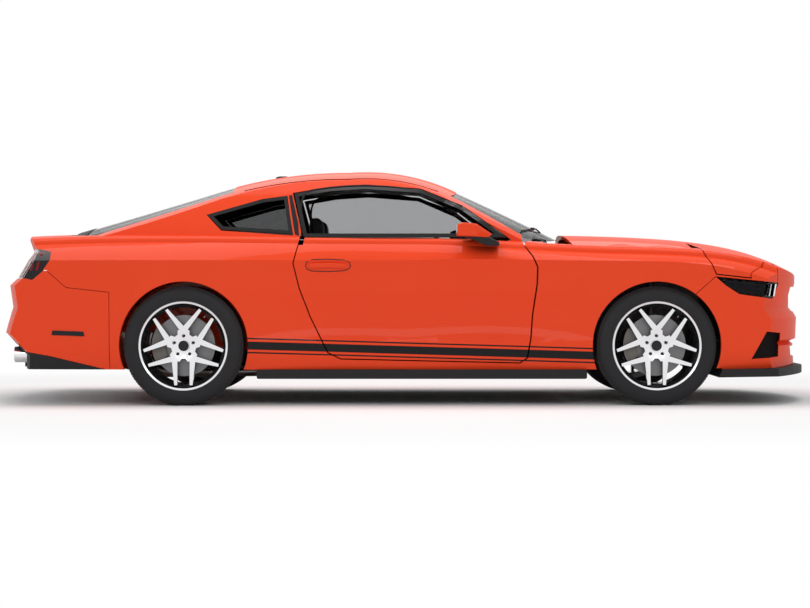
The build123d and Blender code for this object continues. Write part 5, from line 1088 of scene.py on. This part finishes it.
def make_rear_seat():
    """The rear bench as stuffed cushions and backs for two."""
    cushion_form = ((-0.930, 0.372), (-0.930, 0.440), (-0.640, 0.478), (-0.596, 0.455), (-0.592, 0.372))
    back_form = ((-1.000, 0.430), (-0.905, 0.450), (-0.985, 0.640), (-1.055, 0.790), (-1.130, 0.800), (-1.110, 0.700))
    for hand, side in SIDES:
        for name, outline in (("cushion", cushion_form), ("back", back_form)):
            pad_piece(f"rear_{name}_{hand}", outline, (side * 0.175, side * 0.590), 0.008,
                                   voxel=0.012)
    middle_form = ((-1.120, 0.470), (-0.915, 0.450), (-0.600, 0.455), (-0.600, 0.470), (-0.905, 0.480),
                   (-0.990, 0.640), (-1.060, 0.785), (-1.130, 0.790))
    profile_piece("rear_middle", middle_form, (-0.168, 0.168), 0.010, "body", "matte_trim")
    base = box_piece("base", (-0.990, -0.590, 0.232), (-0.600, 0.590, 0.372), 0.008)
    piece_done(base, "rear_base", "body", "matte_trim", 40)
    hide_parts("rear_seat")


# Place across the car and height of each pad's lower edge
PEDALS = ((0.300, 0.360), (0.375, 0.360), (0.455, 0.340))
# Profiles as (radius, distance along the axis)
VENT_PROFILE = ((0.038, -0.006), (0.038, 0.004), (0.034, 0.007), (0.030, 0.004), (0.030, -0.004))
KNOB_PROFILE = ((0.006, 0.0), (0.010, 0.040), (0.022, 0.062), (0.027, 0.082), (0.020, 0.100), (0.0002, 0.106))


def make_dash_details():
    """Vents, screen, knobs, dials, selector and pedals."""
    for number, y in enumerate((-0.600, -0.080, 0.080, 0.600)):
        ring = lathe_piece("vent", VENT_PROFILE, (0.0, 0.0, 0.0), 1, sides=36)
        ring.rotation_euler = (0, 0, math.pi / 2)
        ring.location = (0.333, y, 0.800)
        settle(ring)
        bars = [box_piece("bar", (0.326, y - 0.031, 0.780 + k * 0.013), (0.336, y + 0.031, 0.783 + k * 0.013), 0.0008)
                for k in range(4)]
        piece_done(joined([ring] + bars, "vent"), f"dash_vent_{number}", "body", "gloss_trim", 35)
    screen = box_piece("screen", (0.322, -0.105, 0.655), (0.338, 0.105, 0.765), 0.004)
    piece_done(screen, "centre_screen", "body", "gloss_trim", 35)
    knobs = []
    for number in range(5):
        y = -0.090 + number * 0.045
        knobs.append(rod_piece("knob", (0.345, y, 0.632), (0.318, y, 0.632), 0.012, sides=28, bevel=0.002))
    piece_done(joined(knobs, "knobs"), "dash_knobs", "body", "alloy", 35)
    hood = ((0.300, 0.862), (0.305, 0.886), (0.345, 0.905), (0.420, 0.902), (0.420, 0.865))
    profile_piece("cluster_hood", hood, (0.215, 0.525), 0.008, "body", "cabin", 35)
    dials = []
    for y in (0.300, 0.440):
        dials.append(rod_piece("dial", (0.336, y, 0.812), (0.324, y, 0.812), 0.046, sides=40, bevel=0.003))
        dials.append(rod_piece("hub", (0.326, y, 0.812), (0.320, y, 0.812), 0.008, sides=20, bevel=0.002))
    piece_done(joined(dials, "dials"), "cluster_dials", "body", "gloss_trim", 35)
    boot = rod_piece("boot", (-0.010, 0.0, 0.500), (-0.010, 0.0, 0.580), 0.055, sides=28, end_radius=0.020)
    piece_done(boot, "selector_boot", "body", "leather", 35)
    knob = lathe_piece("knob", KNOB_PROFILE, (0, 0, 0), 1, sides=32)
    knob.rotation_euler = (math.pi / 2, 0, 0)
    knob.location = (-0.010, 0.0, 0.560)
    settle(knob)
    piece_done(knob, "selector_knob", "body", "gloss_trim", 35)
    pedals = []
    for y, height in PEDALS:
        pedals.append(box_piece("pad", (0.640, y - 0.028, height), (0.652, y + 0.028, height + 0.070), 0.004))
        pedals.append(rod_piece("stem", (0.648, y, height + 0.050), (0.735, y, 0.590), 0.007, sides=12))
    piece_done(joined(pedals, "pedals"), "pedals", "body", "alloy", 35)


# Inside the doors: name, outline, inner and outer distance from the car's middle, bevel, finish and slot
DOOR_FORMS = (
    ("armrest", ((-0.480, 0.600), (-0.480, 0.660), (-0.400, 0.680), (0.100, 0.672), (0.160, 0.640), (0.140, 0.610)),
     0.690, 0.736, 0.012, "leather", "seat"),
    ("door_pocket", ((-0.420, 0.330), (-0.440, 0.420), (0.180, 0.420), (0.240, 0.330)),
     0.700, 0.735, 0.010, "cabin", "trim"),
)


def make_door_cards():
    """Door pockets, armrests and pulls on the inner sides of both doors."""
    for hand, side in SIDES:
        body = BODY_OF[f"door_{hand}"]
        for name, outline, inner, outer, bevel, finish, slot in DOOR_FORMS:
            profile_piece(f"{name}_{hand}", outline, (side * inner, side * outer), bevel, body, finish)
        pull = box_piece("pull", (0.180, min(side * 0.705, side * 0.735), 0.735),
                         (0.290, max(side * 0.705, side * 0.735), 0.760), 0.005)
        piece_done(pull, f"door_pull_{hand}", body, "chrome", 40)


# Wheels

LUG_CIRCLE = 0.05715
VALVE_CIRCLE = 0.214
# Distance of the spokes' outer face from the wheel's middle plane
HUB_FACE = 0.080
# Profiles as (radius, distance outwards)
CAP_PROFILE = ((0.0305, 0.0), (0.0305, 0.0035), (0.0285, 0.0052), (0.0255, 0.0052), (0.0245, 0.0040),
               (0.0180, 0.0048), (0.0090, 0.0056), (0.0001, 0.0058))
CAP_RING_PROFILE = ((0.0305, 0.0), (0.0340, 0.0), (0.0340, 0.0036), (0.0305, 0.0036))
TREAD_RIBS = ((-0.0980, -0.0680), (-0.0570, -0.0260), (-0.0150, 0.0150), (0.0260, 0.0570), (0.0680, 0.0980))


def tyre_profile():
    """The tyre's section from the inner bead round to the outer bead, as (radius, out)."""
    groove = TYRE_RADIUS - looks().tread_depth - 0.0006
    points = [(0.2450, -0.1040), (0.2500, -0.1120), (0.2640, -0.1215), (0.2660, -0.1235), (0.2720, -0.1240),
              (0.2735, -0.1255), (0.2850, -0.1270), (0.3000, -0.1268), (0.3150, -0.1235), (0.3270, -0.1160),
              (0.3340, -0.1080), (groove, -0.0985)]
    for low, high in TREAD_RIBS:
        points += [(groove, low), (groove, high)]
    points += [(groove, 0.0985)]
    points += [(r, -out) for r, out in reversed(points[:11])]
    return points


def make_tyre(name, x, y):
    """A road tyre with grooves, shoulder blocks and ringed sidewalls."""
    side = 1 if y > 0 else -1
    tyre = lathe_piece(name, tyre_profile(), (x, y, AXLE_Z), side, sides=120, closed=False)
    edit(tyre)
    bpy.ops.mesh.select_mode(type="EDGE")
    bpy.ops.mesh.select_non_manifold()
    bpy.ops.mesh.bridge_edge_loops()
    bpy.ops.mesh.select_all(action="SELECT")
    bpy.ops.mesh.normals_make_consistent(inside=False)
    axle = Vector((x, y, AXLE_Z))

    def tread(low, high):
        def test(centre, normal):
            away = centre - axle
            out = abs(away.y)
            return low < out < high and math.hypot(away.x, away.z) > 0.334 and abs(normal.y) < 0.5
        return test

    depth = looks().tread_depth
    select_faces(tyre, tread(0.0682, 0.0982))
    bpy.ops.mesh.inset(thickness=0.0016, depth=depth, use_individual=True)
    for low, high in ((-0.001, 0.0152), (0.0262, 0.0568)):
        select_faces(tyre, tread(low, high))
        bpy.ops.mesh.inset(thickness=0.0012, depth=depth, use_individual=False)
    close()
    node = name.replace("_road", "")
    piece_done(tyre, name, BODY_OF[node], "tyre", 35)
    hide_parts(node)


# The caliper's cheeks and bridge: inner radius, and both faces from the disc's middle
CALIPER_PARTS = ((0.112, -0.031, -0.0165), (0.112, 0.0165, 0.031), (0.1795, -0.031, 0.031))
CALIPER_OUTER = 0.197
DISC_OFFSET = 0.010


def arc_outline(x, inner, outer, first, last, steps=10):
    """Part of a ring round an axle, seen from the side, in degrees from straight ahead."""
    turns = [math.radians(first + (last - first) * number / steps) for number in range(steps + 1)]
    outside = [(x + outer * math.cos(turn), AXLE_Z + outer * math.sin(turn)) for turn in turns]
    return outside + [(x + inner * math.cos(turn), AXLE_Z + inner * math.sin(turn)) for turn in reversed(turns)]


def make_caliper(place, x, y):
    """A brake caliper behind the axle: two cheeks and a bridge round the disc."""
    side = 1 if y > 0 else -1
    body = f"knuckle_{place[6:]}" if place.startswith("front") else "body"
    parts = []
    for inner, near, far in CALIPER_PARTS:
        low, high = sorted((y + side * near, y + side * far))
        parts.append(prism_piece("part", arc_outline(x, inner, CALIPER_OUTER, 152, 214), "Y", low, high, 0.0025))
    piece_done(joined(parts, "caliper"), f"caliper_{place}", body, "caliper", 40)
    profile_piece(f"caliper_mark_{place}", arc_outline(x, 0.166, 0.174, 172, 196),
                  (y + side * 0.0305, y + side * 0.0318), 0.0003, body, "red_paint")


def make_wheels():
    """Tyres, rims, caps, nuts, valves and brakes of all four wheels."""
    for place, x, y in WHEELS:
        side = 1 if y > 0 else -1
        body = f"wheel_{place}"
        make_tyre(f"tyre_{place}_road", x, y)
        rim = node_copy(f"rim_{place}", f"rim_{place}_machined")
        edit(rim, "SELECT")
        bpy.ops.mesh.dissolve_limited(angle_limit=math.radians(1.0))
        close()
        piece_done(rim, f"rim_{place}_machined", body, "rim", 30)
        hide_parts(f"rim_{place}")
        material_of(frame["nodes"][f"disc_{place}"], FINISH["disc"])
        face = y + side * HUB_FACE
        nuts = []
        for number in range(5):
            turn = math.radians(-90 + number * 72)
            nut_x, nut_z = x + math.cos(turn) * LUG_CIRCLE, AXLE_Z - math.sin(turn) * LUG_CIRCLE
            nuts.append(rod_piece("nut", (nut_x, face - side * 0.0115, nut_z), (nut_x, face + side * 0.004, nut_z),
                                  0.0092, sides=6, bevel=0.0012))
        piece_done(joined(nuts, "nuts"), f"lug_nuts_{place}", body, "gloss_trim", 30)
        for name, profile, finish in (("cap", CAP_PROFILE, "gloss_trim"), ("ring", CAP_RING_PROFILE, "chrome")):
            turned = lathe_piece(name, profile, (x, face + side * 0.0045, AXLE_Z), side, sides=48)
            piece_done(turned, f"hub_{name}_{place}", body, finish, 25)
        make_caliper(place, x, y + side * DISC_OFFSET)
        turn = math.radians(-90 + 36)
        ends = [(x + math.cos(turn) * radius, y + side * out, AXLE_Z - math.sin(turn) * radius)
                for radius, out in ((VALVE_CIRCLE, 0.088), (VALVE_CIRCLE - 0.012, 0.100))]
        valve = rod_piece("valve", ends[0], ends[1], 0.0045, sides=12, end_radius=0.0032, bevel=0.0008)
        piece_done(valve, f"valve_{place}", body, "alloy", 40)


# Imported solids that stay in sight

SOLID_FINISH = {
    "front_splitter": "matte_trim", "grilles": "gloss_trim", "headlamps": "dark_lens", "cowl_panel": "matte_trim",
    "windshield": "screen", "quarter_glasses": "screen", "rear_window": "screen", "tail_lamps": "dark_lens",
    "rear_valance": "matte_trim", "side_skirts": "matte_trim", "engine_block": "iron", "front_subframe": "iron",
    "rear_subframe": "iron", "exhaust_pipes": "exhaust", "mufflers": "exhaust",
    "rear_bulkhead": "under", "firewall": "under", "bay_frame": "under", "dashboard": "cabin",
    "steering_wheel": "leather", "door_glass_left": "glass", "door_glass_right": "glass",
    "knuckle_left": "iron", "knuckle_right": "iron",
    "floor_pan": "under",
}


def make_solids():
    """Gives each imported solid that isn't replaced its finish."""
    for node, finish in SOLID_FINISH.items():
        material_of(frame["nodes"][node], FINISH[finish])


# Operators, one for each group of pieces

class CAR_OT_stage(bpy.types.Operator):
    """Adds the floor, the lamps, the world and the camera"""
    bl_idname = "car.stage"
    bl_label = "Studio stage"

    def execute(self, context):
        make_stage()
        return {"FINISHED"}


class CAR_OT_panels(bpy.types.Operator):
    """Adds the painted body panels"""
    bl_idname = "car.panels"
    bl_label = "Painted panels"

    def execute(self, context):
        make_panels()
        return {"FINISHED"}


class CAR_OT_windows(bpy.types.Operator):
    """Adds window frames and pillar covers"""
    bl_idname = "car.windows"
    bl_label = "Window trim"

    def execute(self, context):
        make_windows()
        return {"FINISHED"}


class CAR_OT_side_details(bpy.types.Operator):
    """Adds door handles and side markers"""
    bl_idname = "car.side_details"
    bl_label = "Side details"

    def execute(self, context):
        make_side_details()
        return {"FINISHED"}


class CAR_OT_lamps(bpy.types.Operator):
    """Adds the lamps' covers, housings and projectors"""
    bl_idname = "car.lamps"
    bl_label = "Lamps"

    def execute(self, context):
        make_lamps()
        return {"FINISHED"}


class CAR_OT_mirrors(bpy.types.Operator):
    """Adds the glasses of the outside mirrors"""
    bl_idname = "car.mirrors"
    bl_label = "Mirror glasses"

    def execute(self, context):
        make_mirrors()
        return {"FINISHED"}


class CAR_OT_wipers(bpy.types.Operator):
    """Adds wipers and cowl slats"""
    bl_idname = "car.wipers"
    bl_label = "Wipers"

    def execute(self, context):
        make_wipers()
        return {"FINISHED"}


class CAR_OT_roof_details(bpy.types.Operator):
    """Adds the roof strips, the aerial and the bright exhaust tips"""
    bl_idname = "car.roof_details"
    bl_label = "Roof and exhaust"

    def execute(self, context):
        make_roof_details()
        make_exhaust_tips()
        return {"FINISHED"}


class CAR_OT_front_seats(bpy.types.Operator):
    """Adds both front seats"""
    bl_idname = "car.front_seats"
    bl_label = "Front seats"

    def execute(self, context):
        make_front_seats()
        return {"FINISHED"}


class CAR_OT_rear_seat(bpy.types.Operator):
    """Adds the rear bench"""
    bl_idname = "car.rear_seat"
    bl_label = "Rear seat"

    def execute(self, context):
        make_rear_seat()
        return {"FINISHED"}


class CAR_OT_dash_details(bpy.types.Operator):
    """Adds vents, screen, dials, selector and pedals"""
    bl_idname = "car.dash_details"
    bl_label = "Dashboard details"

    def execute(self, context):
        make_dash_details()
        return {"FINISHED"}


class CAR_OT_door_cards(bpy.types.Operator):
    """Adds armrests, pockets and pulls inside the doors"""
    bl_idname = "car.door_cards"
    bl_label = "Door cards"

    def execute(self, context):
        make_door_cards()
        return {"FINISHED"}


class CAR_OT_wheels(bpy.types.Operator):
    """Adds tyres, rims, caps, nuts, valves and brakes"""
    bl_idname = "car.wheels"
    bl_label = "Wheels"

    def execute(self, context):
        make_wheels()
        return {"FINISHED"}


class CAR_OT_solids(bpy.types.Operator):
    """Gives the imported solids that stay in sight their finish"""
    bl_idname = "car.solids"
    bl_label = "Plain solids"

    def execute(self, context):
        make_solids()
        return {"FINISHED"}


STEPS = (CAR_OT_stage, CAR_OT_solids, CAR_OT_panels, CAR_OT_windows, CAR_OT_side_details, CAR_OT_lamps,
         CAR_OT_mirrors, CAR_OT_wipers, CAR_OT_roof_details, CAR_OT_front_seats,
         CAR_OT_rear_seat, CAR_OT_dash_details, CAR_OT_door_cards, CAR_OT_wheels)


class CAR_PT_panel(bpy.types.Panel):
    """Lists the steps and the values that they use"""
    bl_idname = "CAR_PT_panel"
    bl_label = "Fastback Car"
    bl_space_type = "VIEW_3D"
    bl_region_type = "UI"
    bl_category = "Fastback Car"

    def draw(self, context):
        for name in CarLooks.__annotations__:
            self.layout.prop(context.scene.car_looks, name)
        for name in StudioLooks.__annotations__:
            self.layout.prop(context.scene.studio_looks, name)
        for step in STEPS:
            self.layout.operator(step.bl_idname)


CLASSES = (CarLooks, StudioLooks) + STEPS + (CAR_PT_panel,)


def register():
    """Makes the classes known to Blender."""
    for cls in CLASSES:
        bpy.utils.register_class(cls)
    bpy.types.Scene.car_looks = bpy.props.PointerProperty(type=CarLooks)
    bpy.types.Scene.studio_looks = bpy.props.PointerProperty(type=StudioLooks)


def unregister():
    """Removes the classes again."""
    del bpy.types.Scene.studio_looks
    del bpy.types.Scene.car_looks
    for cls in reversed(CLASSES):
        bpy.utils.unregister_class(cls)


def main():
    """Registers the add-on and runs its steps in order."""
    register()
    make_finishes()
    for step in STEPS:
        group, _, name = step.bl_idname.partition(".")
        result = getattr(getattr(bpy.ops, group), name)()
        if result != {"FINISHED"}:
            raise RuntimeError(step.bl_label)


if __name__ == "__main__":
    main()
